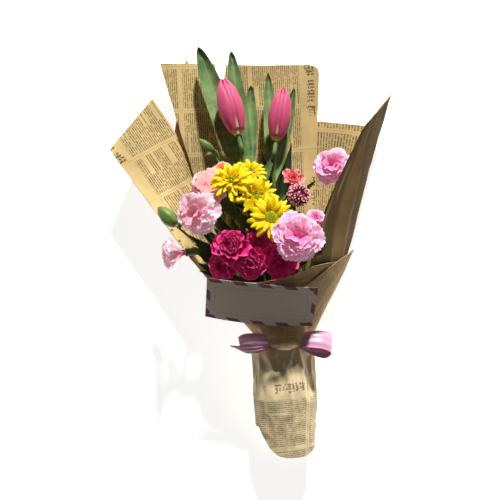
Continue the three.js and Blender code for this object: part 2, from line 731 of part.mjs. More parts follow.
// The blooms. at is the middle of the face, facing its direction, depth how far its cup lies
// behind the face, and behind names the blooms in front of it.
const carnation = {
  big: { at: [26, 13, 111], facing: [0.1, 0.1, 0.99], radius: 27.5, depth: 11, seed: 1, full: true },
  small: { at: [46, 33, 92], facing: [0.1, 0.3, 0.95], radius: 11, depth: 6, seed: 41 },
  far: { at: [66.7, 90.9, 58], facing: [-0.35, 0.25, 0.9], radius: 21.5, depth: 9, seed: 81, full: true },
  salmon: { at: [-67, 67, 81], facing: [-0.3, 0.35, 0.88], radius: 22, depth: 9, seed: 121, full: true },
  peach: { at: [-52, 86, 68], facing: [-0.1, 0.6, 0.8], radius: 11, depth: 5, seed: 161 },
  left: { at: [-77.9, 38.3, 94], facing: [-0.4, -0.05, 0.9], radius: 23.5, depth: 10, seed: 201, full: true },
  open: { at: [-105.9, -4.2, 84], facing: [-0.95, -0.1, 0.3], radius: 14, depth: 16, seed: 241 },
};
const mum = [
  { at: [-42, 73, 90], facing: [-0.2, 0.55, 0.81], radius: 24, depth: 6.5, seed: 301 },
  { at: [-22, 85.5, 71], facing: [0.1, 0.8, 0.6], radius: 20, depth: 6.5, seed: 341 },
  { at: [-15.8, 57.3, 90], facing: [0.1, 0.45, 0.88], radius: 25, depth: 6.5, seed: 381 },
  { at: [-0.4, 34, 99], facing: [0.1, 0.2, 0.96], radius: 26, depth: 6.5, seed: 421 },
];
const rose = [
  { at: [-45.1, 6.2, 100], facing: [-0.25, 0.3, 0.92], radius: 16.5, depth: 17, droop: 12, seed: 501 },
  { at: [-53.9, -17.2, 88], facing: [-0.45, -0.2, 0.87], radius: 15, depth: 15, seed: 541 },
  { at: [-22, -14.4, 98], facing: [-0.05, -0.2, 0.97], radius: 15.5, depth: 16, droop: 12, seed: 581 },
  { at: [11, -14.5, 90], facing: [0.25, -0.2, 0.94], radius: 17, depth: 16, seed: 621 },
  { at: [-12.6, 9.5, 86], facing: [0.05, 0.2, 0.98], radius: 13.5, depth: 14, seed: 661 },
];
const coralRose = { at: [24, 78, 68], facing: [0.1, 0.35, 0.93], radius: 10.5, depth: 13, seed: 701 };
const filler = { at: [29, 58, 78], facing: [0.15, 0.2, 0.96], radius: 11.5, depth: 11.5, florets: 24 };
const tulip = [
  { at: [-35.1, 125.3, 52], facing: [-17.6, 64.6, -6], radius: 13, length: 66, depth: 0 },
  { at: [6.3, 118.5, 54], facing: [8.8, 59.6, -4], radius: 11.5, length: 60, depth: 0 },
];
mum[1].behind = [mum[0], mum[2]];
mum[2].behind = [mum[3], mum[0]];
mum[3].behind = [carnation.big];
carnation.small.behind = [carnation.big];
carnation.salmon.behind = [mum[0], carnation.left];
carnation.peach.behind = [mum[0], carnation.salmon];
rose[1].behind = [rose[0]];
rose[2].behind = [rose[0]];
rose[3].behind = [rose[2]];
rose[4].behind = [mum[3], carnation.big];

// Sprays: the grown green pieces, each one solid

function carnationSpray(blooms, fork, through, target, buds = [], leaves = []) {
  const cups = blooms.map(([bloom, length, mouth]) => cupOf(bloom, length, mouth, STEM.thin + 0.4));
  const branches = blooms.map(([bloom, length, , way]) => (
    branch(bloom, bloom.depth + length, way, V(...fork))));
  const shoots = buds.flatMap(({ base, tip, radius, way }) => {
    const back = V(...base).sub(V(...tip)).normalize();
    const start = V(...base).addScaledVector(back, -1);
    const straight = V(...base).addScaledVector(back, 8);
    return [bud(base, tip, radius), tube([start, straight, ...way, V(...fork)], 1.1, 1.6, 4, 4)];
  });
  const blades = leaves.map(([tip, width, sag]) => leaf({ root: fork, tip, width, sag }));
  return union([...cups, ...branches, ...shoots, ...blades, mainStem([V(...fork), ...through], target)]);
}

function carnationPieces() {
  const c = carnation;
  const petals = {
    carnation_big_petals: [c.big, 'pink'], carnation_small_petals: [c.small, 'pink'],
    carnation_far_petals: [c.far, 'pink'], carnation_salmon_petals: [c.salmon, 'salmon'],
    carnation_peach_petals: [c.peach, 'peach'], carnation_left_petals: [c.left, 'pink'],
  };
  for (const [name, [bloom, colour]] of Object.entries(petals)) {
    place(name, carnationPetals(bloom), COLOUR[colour]);
  }
  place('carnation_open_petals', carnationTrumpet(c.open), COLOUR.pink);
  place('carnation_spray_left', carnationSpray(
    [
      [c.salmon, 20, 4.6, []],
      [c.peach, 15, 3.2, []],
      [c.left, 20, 4.6, []],
      [c.open, 18, 4.4, [V(-58, -6, 64)]],
    ],
    [-34, -24, 42], [V(-18, -60, 34)], slot(2, 0),
    [
      { base: [-62.4, 108.2, 50], tip: [-77.9, 121.6, 48], radius: 4.6, way: [V(-50, 60, 42)] },
      { base: [-101.2, 27.5, 78], tip: [-119.7, 45.7, 74], radius: 8.6, way: [V(-70, 0, 54)] },
    ],
    [[[-84, 4, 72], 9, 6], [[-60, 24, 74], 9, 2]]), COLOUR.calyx);
  place('carnation_spray_right', carnationSpray(
    [[c.big, 20, 5, []], [c.small, 14, 3.4, []]],
    [23, -34, 47], [V(20, -65, 36)], slot(2, 2)), COLOUR.calyx);
  place('carnation_far_stem', carnationSpray(
    [[c.far, 16, 4.4, []]], [56, 24, 22], [V(36, -45, 19)], slot(0, 3)), COLOUR.calyx);
}

function mumPieces() {
  const fork = V(-8, -12, 44);
  mum.forEach((bloom, i) => place(`mum_${i + 1}_rays`, mumRays(bloom), COLOUR.yellow));
  const distance = 2.4 + MUM.ringThick + GAP + 4;
  const ways = [[V(-34, 34, 62)], [V(-24, 50, 52)], [V(-14, 30, 58)], [V(-3, 16, 58)]];
  place('mum_spray', union([
    ...mum.map(mumDisc),
    ...mum.map((bloom, i) => branch(bloom, distance, ways[i], fork)),
    mainStem([fork, V(4, -52, 32)], slot(1, 1)),
  ]), COLOUR.disc);
}

function rosePieces() {
  const fork = V(-6, -46, 52);
  rose.forEach((bloom, i) => place(`rose_${i + 1}_petals`, rosePetals(bloom), COLOUR.magenta));
  const leaves = [
    { root: [-27, 8, 88], tip: [-31.5, 29, 101], width: 5, sag: 0, along: 3 },
    { root: [-12, -40, 54], tip: [-60, 28, 75], width: 15, sag: 2, along: 3 },
    { root: [-10, -36, 54], tip: [-42, 35, 76], width: 14, sag: 0, along: 3 },
    { root: [-12, -43, 55], tip: [-68, -8, 70], width: 14, sag: 1, along: 3 },
    { root: [-3, -42, 55], tip: [38, -12, 75], width: 13, sag: 0, along: 3 },
  ];
  place('rose_spray', union([
    ...rose.map((bloom) => cupOf(bloom, 5, 3.6, STEM.thin)),
    ...rose.map((bloom) => branch(bloom, bloom.depth + 4, [], fork)),
    ...leaves.map(leaf),
    tube([V(-27.3, 8.4, 88.3), V(-27, 3, 78), V(-24, -6, 64), fork], 0.9, 1.5, 4, 4),
    mainStem([fork, V(4, -70, 37)], slot(2, 1)),
  ]), COLOUR.leaf);
  place('rose_coral_petals', rosePetals(coralRose), COLOUR.coral);
  place('rose_coral_stem', union([
    cupOf(coralRose, 5, 3.4, STEM.thin),
    mainStem([backOf(coralRose, coralRose.depth + 3), backOf(coralRose, 28), V(20, 15, 34), V(21, -45, 27)],
      slot(1, 2)),
  ]), COLOUR.leaf);
}

function fillerPieces() {
  place('filler_florets', fillerHead(filler), COLOUR.burgundy);
  place('filler_stem', mainStem(
    [backOf(filler, filler.radius + GAP), backOf(filler, 28), V(32, 8, 44), V(30, -45, 36)],
    slot(2, 3)), COLOUR.leaf);
}

function tulipPieces() {
  const ways = [
    [V(-29, 96, 46), V(-18, 20, 31), V(0, -50, 21)],
    [V(4, 90, 46), V(5, 20, 31), V(10, -50, 21)],
  ];
  const leaves = [
    [
      { root: [-26, 74, 40], tip: [-79.9, 227.1, 26], width: 21, sag: -2, across: 4, along: 6 },
      { root: [-24, 72, 39], tip: [-43.3, 224.2, 20], width: 15, sag: -3 },
      { root: [-25, 70, 38], tip: [-20.9, 185.1, 22], width: 14, sag: -5 },
    ],
    [
      { root: [4, 72, 43], tip: [-1.8, 197.7, 26], width: 12, sag: -3 },
      { root: [5.5, 74, 43], tip: [27, 179.2, 36], width: 12, sag: -2 },
    ],
  ];
  tulip.forEach((bloom, i) => {
    const side = ['left', 'right'][i];
    place(`tulip_${side}_tepals`, tulipTepals(bloom), COLOUR.tulip, 0.5);
    place(`tulip_${side}_stem`, union([
      mainStem([backOf(bloom, GAP), backOf(bloom, 14), ...ways[i]], slot(0, i)),
      ...leaves[i].map(leaf),
    ]), COLOUR.stem);
  });
}

// Dark narrow leaves that fill the space behind the chrysanthemums.
function foliagePieces() {
  const fork = [10, 40, 24];
  const tips = [[[24, 118, 38], 12, 3], [[50, 76, 44], 11, 3], [[-10, 112, 26], 11, 2]];
  place('foliage', union([
    mainStem([V(...fork), V(14, -30, 20)], slot(0, 2)),
    ...tips.map(([tip, width, sag]) => leaf({ root: fork, tip, width, sag })),
  ]), COLOUR.dark);
}

function wrapperPieces() {
  place('wrap_outer', outerSheet(), COLOUR.kraft, 0.85);
  place('wrap_panels', backPanels(), COLOUR.kraft, 0.85);
  place('wrap_front_left', frontLeftWrap(), COLOUR.kraft, 0.85);
  place('wrap_front_right', frontRightWrap(), COLOUR.kraft, 0.85);
  place('wrap_sleeve', sleeveTube(), COLOUR.kraft, 0.85);
  place('ribbon_bow', ribbonBow(), COLOUR.ribbon, 0.4);
  place('card', cardSheet(), COLOUR.card, 0.8);
  place('stem_band', stemBand(), COLOUR.rubber, 0.9);
}

wrapperPieces();
tulipPieces();
carnationPieces();
mumPieces();
rosePieces();
fillerPieces();
foliagePieces();

for (const { name, solid, colour, roughness } of pieces) {
  const material = new THREE.MeshStandardMaterial({ color: colour, roughness, metalness: 0 });
  const mesh = new THREE.Mesh(geometryOf(solid), material);
  mesh.name = name;
  bouquet.add(mesh);
}

export default bouquet;
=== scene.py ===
import json
import math
from math import cos, pi, radians, sin

import bpy
import numpy as np
from mathutils import Matrix, Vector, noise

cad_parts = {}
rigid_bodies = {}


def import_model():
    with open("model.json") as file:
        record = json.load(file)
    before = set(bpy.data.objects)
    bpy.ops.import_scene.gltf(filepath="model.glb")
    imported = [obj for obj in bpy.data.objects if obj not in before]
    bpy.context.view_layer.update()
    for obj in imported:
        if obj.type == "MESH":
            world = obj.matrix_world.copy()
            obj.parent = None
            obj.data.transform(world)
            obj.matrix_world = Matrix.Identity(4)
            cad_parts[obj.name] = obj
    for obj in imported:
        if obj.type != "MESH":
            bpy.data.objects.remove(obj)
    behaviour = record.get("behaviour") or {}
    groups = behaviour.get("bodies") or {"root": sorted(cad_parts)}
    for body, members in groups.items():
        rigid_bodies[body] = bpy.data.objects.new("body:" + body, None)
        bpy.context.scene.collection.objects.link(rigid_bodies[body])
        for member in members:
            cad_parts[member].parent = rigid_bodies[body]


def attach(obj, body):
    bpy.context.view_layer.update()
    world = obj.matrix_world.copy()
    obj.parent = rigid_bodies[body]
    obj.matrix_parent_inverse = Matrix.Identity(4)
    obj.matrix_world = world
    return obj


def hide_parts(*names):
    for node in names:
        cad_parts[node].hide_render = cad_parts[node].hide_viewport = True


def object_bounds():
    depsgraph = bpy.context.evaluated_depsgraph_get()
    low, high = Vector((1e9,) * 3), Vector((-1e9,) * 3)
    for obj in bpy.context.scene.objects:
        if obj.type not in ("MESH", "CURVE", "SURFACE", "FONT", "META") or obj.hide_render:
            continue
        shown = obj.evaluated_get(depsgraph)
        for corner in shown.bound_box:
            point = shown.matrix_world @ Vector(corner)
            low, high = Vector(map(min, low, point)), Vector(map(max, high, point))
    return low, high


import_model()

# Mixed flower bouquet in printed kraft paper, laid on its back. Lengths are in millimetres, as
# in the solid model, and become metres where a mesh is made. +Y runs from the cut stems to the
# blooms, +Z is up off the surface.

CAD_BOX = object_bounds()
METRE = 0.001  # Turns millimetres into metres
GOLDEN = 137.508  # Degrees from one petal of a spiral to the next
TULIP_TURN = 0.55  # Radians that the tepals are turned about the tulips' stems
CREASE = 50  # Degrees: an edge sharper than this is not smoothed
ROOM = (3, -0.0005)  # Half the floor's width, and its level, in metres

# Paper, its layers and the two rings that rule the cone
THIN = 0.45  # The thickness of a sheet
LAYER = 1.6  # From one layer of paper to the next
INSIDE = 0.4  # Paper stays this far inside the box of the solids
GAP = 0.35  # Left between parts that lie against each other
BLADE = 1.0  # Allowed for the thickness of a petal
NECK = {"y": -95, "x": 15, "z": 30, "half": 28, "front": 20.5, "back": 20.5, "power": (2, 2)}
RING = {"y": -10, "x": -2, "z": 50, "half": 83, "front": 62, "back": 54, "power": (2.4, 3)}
CONE_END = -110  # The lower end of the cone's sheets, inside the sleeve
COLUMN = 12  # Degrees from one value of a list of rims or tops to the next
SLEEVE = {"layer": 4.3, "top": -98, "end": -229, "corner": 33, "middle": 25, "reach": 40, "roundness": 3.5}
RIBBON = {"layer": 5, "top": -96, "bottom": -107, "thick": 0.35, "flat": 25, "loop": 21, "knot": 8}
CARD = {"width": 115, "height": 52, "thick": 0.5, "x": -11, "y": -57, "z": 86.2, "tilt": 32, "turn": -5,
        "sag_top": 2, "sag_end": 6}
STEM = {"radius": 2.7, "thin": 1.5, "end": -214, "x": 6.45, "z": 16.6, "pitch": 5.7, "rise": 5}

# The camera looks straight down from this height above this point of the surface.
CAMERA = {"x": -22, "height": 900, "lens": 56.06}
SUN = (0.12, 0.93, 0.46)


# Small helpers

def lerp(a, b, t):
    return a + (b - a) * t


def smooth(value, low, high):
    t = min(max((value - low) / (high - low), 0), 1)
    return t * t * (3 - 2 * t)


def draw(seed, i):
    """A repeatable draw between 0 and 1 for copy i of the thing numbered seed."""
    wave = sin(seed * 12.9898 + i * 78.233) * 43758.5453
    return wave - math.floor(wave)


def along_list(values, place):
    """The value at a fractional place of a list of numbers or of number lists."""
    i = min(int(place), len(values) - 2)
    a, b = values[i], values[i + 1]
    if isinstance(a, (int, float)):
        return lerp(a, b, place - i)
    return [lerp(p, q, place - i) for p, q in zip(a, b)]


def catmull(points, steps):
    """Evenly numbered points of a smooth curve through the given ones."""
    knots = [Vector(p) for p in points]
    knots = [2 * knots[0] - knots[1], *knots, 2 * knots[-1] - knots[-2]]
    curve = []
    spans = len(knots) - 3
    for n in range(steps + 1):
        place = n / steps * spans
        i = min(int(place), spans - 1)
        t = place - i
        p0, p1, p2, p3 = knots[i:i + 4]
        m1 = (p2 - p0) * 0.5
        m2 = (p3 - p1) * 0.5
        curve.append((2 * t ** 3 - 3 * t * t + 1) * p1 + (t ** 3 - 2 * t * t + t) * m1
                     + (3 * t * t - 2 * t ** 3) * p2 + (t ** 3 - t * t) * m2)
    return curve


def travel(points):
    """How far along a line of points each of them comes."""
    far = [0]
    for before, here in zip(points, points[1:]):
        far.append(far[-1] + (here - before).length)
    return far


def in_scene(name, data):
    """A new object of a mesh, light or camera, in the scene."""
    piece = bpy.data.objects.new(name, data)
    bpy.context.scene.collection.objects.link(piece)
    return piece


class Shape:
    """Points in millimetres with a UV pair each, and faces with a material number each."""

    def __init__(self):
        self.points, self.uvs, self.faces, self.marks = [], [], [], []

    def add(self, points, faces, uvs, marks=None):
        first = len(self.points)
        self.points += [tuple(p) for p in points]
        self.uvs += uvs
        self.faces += [tuple(first + k for k in face) for face in faces]
        self.marks += marks or [0] * len(faces)

    def make(self, name, materials, unit=METRE):
        """The object of this shape, smooth but for its creases."""
        mesh = bpy.data.meshes.new(name)
        mesh.from_pydata((np.array(self.points) * unit).tolist(), [], self.faces)
        layer = mesh.uv_layers.new(name="UVMap")
        corners = np.zeros(len(mesh.loops), dtype=np.int32)
        mesh.loops.foreach_get("vertex_index", corners)
        layer.data.foreach_set("uv", np.array(self.uvs, dtype=np.float32)[corners].ravel())
        mesh.polygons.foreach_set("material_index", self.marks)
        mesh.polygons.foreach_set("use_smooth", [True] * len(self.faces))
        for material in materials:
            mesh.materials.append(material)
        mesh.set_sharp_from_angle(angle=radians(CREASE))
        return in_scene(name, mesh)


def grid_of(across, along, point):
    """Rows of points, from a rule that gives the point at u, -1 to 1 across, and t, 0 to 1 along."""
    return [[point(2 * i / across - 1, j / along) for j in range(along + 1)] for i in range(across + 1)]


def grid_normals(grid, closed):
    """A grid's points and the way that its surface faces at each."""
    points = np.array([[tuple(p) for p in row] for row in grid])
    if closed:
        along = np.roll(points, -1, axis=0) - np.roll(points, 1, axis=0)
    else:
        along = np.gradient(points, axis=0)
    across = np.gradient(points, axis=1)
    normals = np.cross(along, across)
    return points, normals / np.maximum(np.linalg.norm(normals, axis=2, keepdims=True), 1e-9)


def add_sheet(shape, grid, thickness, uvs, closed=False, marks=(0, 1)):
    """A sheet of even thickness round a grid of mid-surface points, with a finish for each face."""
    points, normals = grid_normals(grid, closed)
    rows, columns = points.shape[:2]
    count = rows * columns
    shells = np.concatenate([points + normals * 0.5 * thickness, points - normals * 0.5 * thickness])
    flat = shells.reshape(-1, 3)

    def at(i, j, face):
        return face * count + (i % rows) * columns + j

    faces, numbers = [], []
    for i in range(rows if closed else rows - 1):
        for j in range(columns - 1):
            faces.append((at(i, j, 0), at(i + 1, j, 0), at(i + 1, j + 1, 0), at(i, j + 1, 0)))
            faces.append((at(i, j, 1), at(i, j + 1, 1), at(i + 1, j + 1, 1), at(i + 1, j, 1)))
            numbers += marks
        end = columns - 1
        faces.append((at(i + 1, 0, 0), at(i, 0, 0), at(i, 0, 1), at(i + 1, 0, 1)))
        faces.append((at(i, end, 0), at(i + 1, end, 0), at(i + 1, end, 1), at(i, end, 1)))
        numbers += [marks[1]] * 2
    if not closed:
        for j in range(columns - 1):
            end = rows - 1
            faces.append((at(0, j, 0), at(0, j + 1, 0), at(0, j + 1, 1), at(0, j, 1)))
            faces.append((at(end, j + 1, 0), at(end, j, 0), at(end, j, 1), at(end, j + 1, 1)))
            numbers += [marks[1]] * 2
    shape.add(flat.tolist(), faces, uvs + uvs, numbers)


def add_blade(shape, grid, thickness):
    """A petal or leaf: two faces that meet at its outline and stand apart inside it."""
    points, normals = grid_normals(grid, False)
    rows, columns = points.shape[:2]
    number = np.zeros((2, rows, columns), dtype=int)
    kept, uvs = [], []
    for i in range(rows):
        for j in range(columns):
            uv = (i / (rows - 1), j / (columns - 1))
            edge = i in (0, rows - 1) or j in (0, columns - 1)
            for face, side in enumerate((0.5, -0.5)):
                if edge and face:
                    number[1, i, j] = number[0, i, j]
                    continue
                number[face, i, j] = len(kept)
                kept.append(points[i, j] if edge else points[i, j] + normals[i, j] * side * thickness)
                uvs.append(uv)
    faces = []
    for i in range(rows - 1):
        for j in range(columns - 1):
            corners = ((i, j), (i + 1, j), (i + 1, j + 1), (i, j + 1))
            faces.append(tuple(int(number[0, r, s]) for r, s in corners))
            faces.append(tuple(int(number[1, r, s]) for r, s in reversed(corners)))
    shape.add(kept, faces, uvs)


def add_turned(shape, frame_matrix, profile, sides=20, wave=None):
    """A solid turned about +Z of a frame from [radius, height] points that start and end on the axis."""
    points, uvs = [], []
    inner = profile[1:-1]
    for n, (radius, height) in enumerate(inner):
        for k in range(sides):
            angle = 2 * pi * k / sides
            r, h = wave(radius, height, angle, n) if wave else (radius, height)
            points.append(frame_matrix @ Vector((r * cos(angle), r * sin(angle), h)))
            uvs.append((k / sides, n / len(inner)))
    foot, head = len(points), len(points) + 1
    points += [frame_matrix @ Vector((0, 0, profile[0][1])), frame_matrix @ Vector((0, 0, profile[-1][1]))]
    uvs += [(0.5, 0), (0.5, 1)]
    faces = []
    for k in range(sides):
        near = (k + 1) % sides
        faces.append((foot, near, k))
        last = (len(inner) - 1) * sides
        faces.append((head, last + k, last + near))
        for n in range(len(inner) - 1):
            a = n * sides
            faces.append((a + k, a + near, a + sides + near, a + sides + k))
    shape.add(points, faces, uvs)


def bloom_frame(bloom):
    """A bloom's own frame: +Z is the way it faces, and its origin is the middle of its face."""
    axis = Vector(bloom["facing"]).normalized()
    side = Vector((0, 1, 0)).cross(axis).normalized()
    matrix = Matrix((side, axis.cross(side), axis)).transposed().to_4x4()
    matrix.translation = Vector(bloom["at"])
    return matrix


def back_of(bloom, distance):
    return Vector(bloom["at"]) - distance * Vector(bloom["facing"]).normalized()


def bend_behind(points, blooms):
    """Bends points back behind the bowl-shaped underside of each bloom in front of them."""
    for bloom in blooms:
        axis = np.array(Vector(bloom["facing"]).normalized())
        away = points - np.array(bloom["at"])
        height = away @ axis
        spread = ((away ** 2).sum(axis=1) - height ** 2) / bloom["radius"] ** 2
        depth = bloom["depth"]
        limit = -depth + (depth - bloom.get("droop", 2)) * spread - BLADE - GAP
        points += np.outer(np.minimum(limit - height, 0), axis)
    return points


def join(name, pieces):
    """One object from several, with their materials and UV maps kept."""
    with bpy.context.temp_override(active_object=pieces[0], object=pieces[0],
                                   selected_objects=pieces, selected_editable_objects=pieces):
        bpy.ops.object.join()
    pieces[0].name = name
    pieces[0].data.name = name
    return pieces[0]


def finish_piece(piece, nodes, slot):
    """Gives a piece its body and hides the solids that it stands for. The slot is not used."""
    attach(piece, "root")
    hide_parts(*nodes)


# Materials

# A kind of node, or a pair of the kind and the settings that go with it
PLUS, MINUS, TIMES, OVER, POWER, WHOLE, PART, SIZE, LEAST, MOST, BELOW, ABOVE, COSINE, SINE, ARCCOSINE = [
    ("ShaderNodeMath", {"operation": operation}) for operation in (
        "ADD", "SUBTRACT", "MULTIPLY", "DIVIDE", "POWER", "FLOOR", "FRACT", "ABSOLUTE", "MINIMUM", "MAXIMUM",
        "LESS_THAN", "GREATER_THAN", "COSINE", "SINE", "ARCCOSINE")
]
NOISE = "ShaderNodeTexNoise"
FLAT_NOISE = (NOISE, {"noise_dimensions": "2D"})
SPREAD = ("ShaderNodeTexWhiteNoise", {"noise_dimensions": "1D"})
RANGE = "ShaderNodeMapRange"
RANDOM = ("FunctionNodeRandomValue", {"data_type": "FLOAT"})
TRIPLE = "ShaderNodeCombineXYZ"
SPLIT = "ShaderNodeSeparateXYZ"
UV = ("ShaderNodeUVMap", {"uv_map": "UVMap"})
PLACE = "ShaderNodeTexCoord"
OBJECT = 3  # The output of PLACE that gives the object's own coordinates


def srgb(code, light=1):
    """Linear RGBA of an sRGB hex colour, made lighter or darker by a factor."""
    parts = [int(code[i:i + 2], 16) / 255 for i in (1, 3, 5)]
    linear = [c / 12.92 if c <= 0.04045 else ((c + 0.055) / 1.055) ** 2.4 for c in parts]
    return [min(c * light, 1) for c in linear] + [1]


def add(tree, kind, sockets=(), out=0, **settings):
    """Adds a node with its settings and links, by socket order or identifier, and returns an output."""
    kind, own = (kind, {}) if isinstance(kind, str) else kind
    node = tree.nodes.new(kind)
    for key, value in {**own, **settings}.items():
        setattr(node, key, value)
    given = sockets if isinstance(sockets, dict) else dict(enumerate(sockets))
    for number, socket in enumerate(node.inputs):
        value = given.get(socket.identifier, given.get(number))
        if isinstance(value, bpy.types.NodeSocket):
            tree.links.new(value, socket)
        elif value is not None:
            socket.default_value = value
    return list(node.outputs) if out is None else node.outputs[out] if len(node.outputs) else node


def new_material(name):
    material = bpy.data.materials.new(name)
    material.use_nodes = True
    return material, material.node_tree


def surface(material, colour, layers, relief, values, painted_glow=0):
    """Ends a material: colours laid over one another, relief from fine to broad, and the shader's values.

    A layer is the pattern it follows, where in the pattern it starts and is full, how much it covers
    at most, and its colour. A relief is a pattern, its strength and its depth in metres.
    """
    tree = material.node_tree
    colour = srgb(colour) if isinstance(colour, str) else colour
    for pattern, start, full, most, over in layers:
        mask = add(tree, RANGE, {"Value": pattern, "From Min": start, "From Max": full, "To Max": most})
        over = srgb(over) if isinstance(over, str) else over
        colour = add(tree, "ShaderNodeMix", {"Factor_Float": mask, "A_Color": colour, "B_Color": over}, out=2,
                     data_type="RGBA")
    normal = None
    for pattern, strength, depth in relief:
        normal = add(tree, "ShaderNodeBump", {"Height": pattern, "Strength": strength, "Distance": depth,
                                              "Normal": normal})
    values = {"Base Color": colour, "Normal": normal, **values}
    # Painted light: the colour is also given out as emission, though the surface is no lamp.
    if painted_glow:
        values.update({"Emission Color": colour, "Emission Strength": painted_glow})
    inputs = tree.nodes["Principled BSDF"].inputs
    for key, value in values.items():
        if isinstance(value, bpy.types.NodeSocket):
            tree.links.new(value, inputs[key])
        elif value is not None:
            inputs[key].default_value = value
    return material


def drawn_out(tree, across, along, detail=3):
    """Noise drawn out along a piece by its UV map, as veins, threads and creases are."""
    place = add(tree, "ShaderNodeMapping", {"Vector": add(tree, UV), "Scale": (across, along, 1)})
    return add(tree, FLAT_NOISE, {"Vector": place, "Scale": 1, "Detail": detail})


def from_middle(tree, value, middle):
    return add(tree, SIZE, [add(tree, MINUS, [value, middle])])


def newsprint(name, paper, ink, strength, heading=None):
    """Printed kraft paper: uncoated, matt, with short fibres in it, and greeked columns of print.

    The UV map is in metres along and across the lines. Bars stand for a bold heading, which heading
    shifts along in mm, and broken strokes for the lines, so that nothing on it can be read.
    """
    material, tree = new_material(name)
    page = add(tree, "ShaderNodeVectorMath", {"Vector": add(tree, UV), "Scale": 1000}, operation="SCALE")
    x, y, _ = add(tree, SPLIT, [page], out=None)

    # Lines of 2.3 mm in columns of 50 mm, with a gap each 80 mm and a heading each 190 mm
    cells = [add(tree, OVER, [way, pitch]) for way, pitch in ((y, 2.3), (x, 50), (y, 80), (y, 190))]
    line, column = [add(tree, WHOLE, [cell]) for cell in cells[:2]]
    in_line, in_column, in_block, in_page = [add(tree, PART, [cell]) for cell in cells]
    rag = add(tree, SPREAD, {"Vector": add(tree, TRIPLE, [line, column])}, noise_dimensions="2D")
    short_line = add(tree, TIMES, [add(tree, ABOVE, [rag, 0.86]), 0.45])
    masks = [add(tree, BELOW, [in_column, add(tree, MINUS, [0.9, short_line])])]
    row = add(tree, TIMES, [line, 7.3])
    for per_mm, detail, full, least in ((1.1, 2, 0.52, 0.4), (0.3, 1, 0.42, 0.3)):
        place = add(tree, TRIPLE, [add(tree, TIMES, [x, per_mm]), row])
        breaks = add(tree, FLAT_NOISE, {"Vector": place, "Scale": 1, "Detail": detail})
        masks.append(add(tree, RANGE, {"Value": breaks, "From Min": 0.36, "From Max": full, "To Min": least}))
    head_room = 0.02 if heading is None else 0.14
    masks += [add(tree, ABOVE, pair) for pair in ([in_block, 0.07], [y, 0], [in_page, head_room])]
    line_middle = from_middle(tree, in_line, 0.5)
    inked = add(tree, RANGE, {"Value": line_middle, "From Min": 0.34, "From Max": 0.2, "To Max": 0.92})
    for mask in masks:
        inked = add(tree, TIMES, [inked, mask])
    if heading is not None:
        inked = add(tree, MOST, [inked, heading_bars(tree, add(tree, PLUS, [x, heading]), in_page)])
    rule = add(tree, TIMES, [add(tree, BELOW, [from_middle(tree, in_column, 0.945), 0.006]), 0.35])
    inked = add(tree, MOST, [inked, rule])
    ground, layers, relief = kraft_ground(tree, paper, 0.25)
    return surface(material, ground, [*layers, (inked, 0, 1, strength, ink)], relief,
                   {"Roughness": 0.86, "Specular IOR Level": 0.25})


def heading_bars(tree, x, in_page):
    """A bold heading as broken uneven strokes, 10 mm high, on part of the width. It spells nothing."""
    step = add(tree, OVER, [x, 3.7])
    number = add(tree, WHOLE, [step])
    tall = add(tree, SPREAD, {"W": number})
    other = add(tree, SPREAD, {"W": add(tree, PLUS, [number, 40.5])})
    wide, top = [add(tree, RANGE, {"Value": other, "To Min": low, "To Max": high})
                 for low, high in ((0.35, 0.78), (0.085, 0.108))]
    place = add(tree, TRIPLE, [add(tree, TIMES, [x, 0.45]), add(tree, TIMES, [in_page, 95])])
    worn = add(tree, FLAT_NOISE, {"Vector": place, "Scale": 1, "Detail": 0})
    level = add(tree, PART, [add(tree, OVER, [in_page, 0.0265])])
    spaces, foot = [add(tree, ABOVE, pair) for pair in ([tall, 0.14], [in_page, 0.05])]
    masks = [spaces, foot, add(tree, BELOW, [in_page, top])]
    strokes = []
    for stroke, width, wear in ((add(tree, PART, [step]), wide, 0.4), (level, 0.24, 0.53)):
        bar = add(tree, BELOW, [stroke, width])
        for mask in (add(tree, ABOVE, [worn, wear]), *masks):
            bar = add(tree, TIMES, [bar, mask])
        strokes.append(bar)
    here = add(tree, BELOW, [add(tree, PART, [add(tree, OVER, [x, 128])]), 0.46])
    return add(tree, TIMES, [add(tree, MOST, strokes), here])


def kraft_ground(tree, paper, fibre):
    """The bare kraft, as a colour, layers and relief: patchy, with short fibres and soft creases."""
    place = add(tree, PLACE, out=OBJECT)
    fibres_at = add(tree, "ShaderNodeMapping", {"Vector": place, "Scale": (900, 260, 700)})
    fibres = add(tree, NOISE, {"Vector": fibres_at, "Scale": 1, "Detail": 2})
    folds = add(tree, "ShaderNodeTexVoronoi", {"Vector": place, "Scale": 42}, feature="DISTANCE_TO_EDGE")
    folds = add(tree, RANGE, {"Value": folds, "From Max": 0.25, "To Max": 0.35})
    patches, wavy = [add(tree, NOISE, {"Vector": place, "Scale": scale, "Detail": detail})
                     for scale, detail in ((14, 3), (60, 4))]
    dark = srgb(paper, 0.78)
    layers = [(patches, 0.35, 0.65, 1, srgb(paper, 1.12)), (fibres, 0.52, 0.72, fibre, dark)]
    return dark, layers, [(add(tree, PLUS, [folds, wavy]), 0.35, 0.0012), (fibres, 0.12, 0.0003)]


def plain_kraft(name, paper, rolled=0.0):
    """The unprinted back of the kraft paper: browner, matt, with crushed fibres along its folds.

    Where it has been rolled, long creases run up the sheet, pale along their tops, partly as rubbed paper and
    partly as painted highlight, between broad darker bands of painted shade.
    """
    material, tree = new_material(name)
    ground, layers, relief = kraft_ground(tree, paper, 0.45)
    if rolled:
        creases = drawn_out(tree, 9, 115)
        # Painted shade: broad darker bands along the rolled sheet. Pale crease tops: partly rubbed paper,
        # partly painted highlight.
        layers += [(drawn_out(tree, 2.2, 30, 2), 0.58, 0.42, 1, srgb(paper, 0.42)),
                   (creases, 0.56, 0.66, rolled, srgb(paper, 1.7))]
        relief.append((creases, 0.5, 0.004))
    return surface(material, ground, layers, relief, {"Roughness": 0.9, "Specular IOR Level": 0.2})


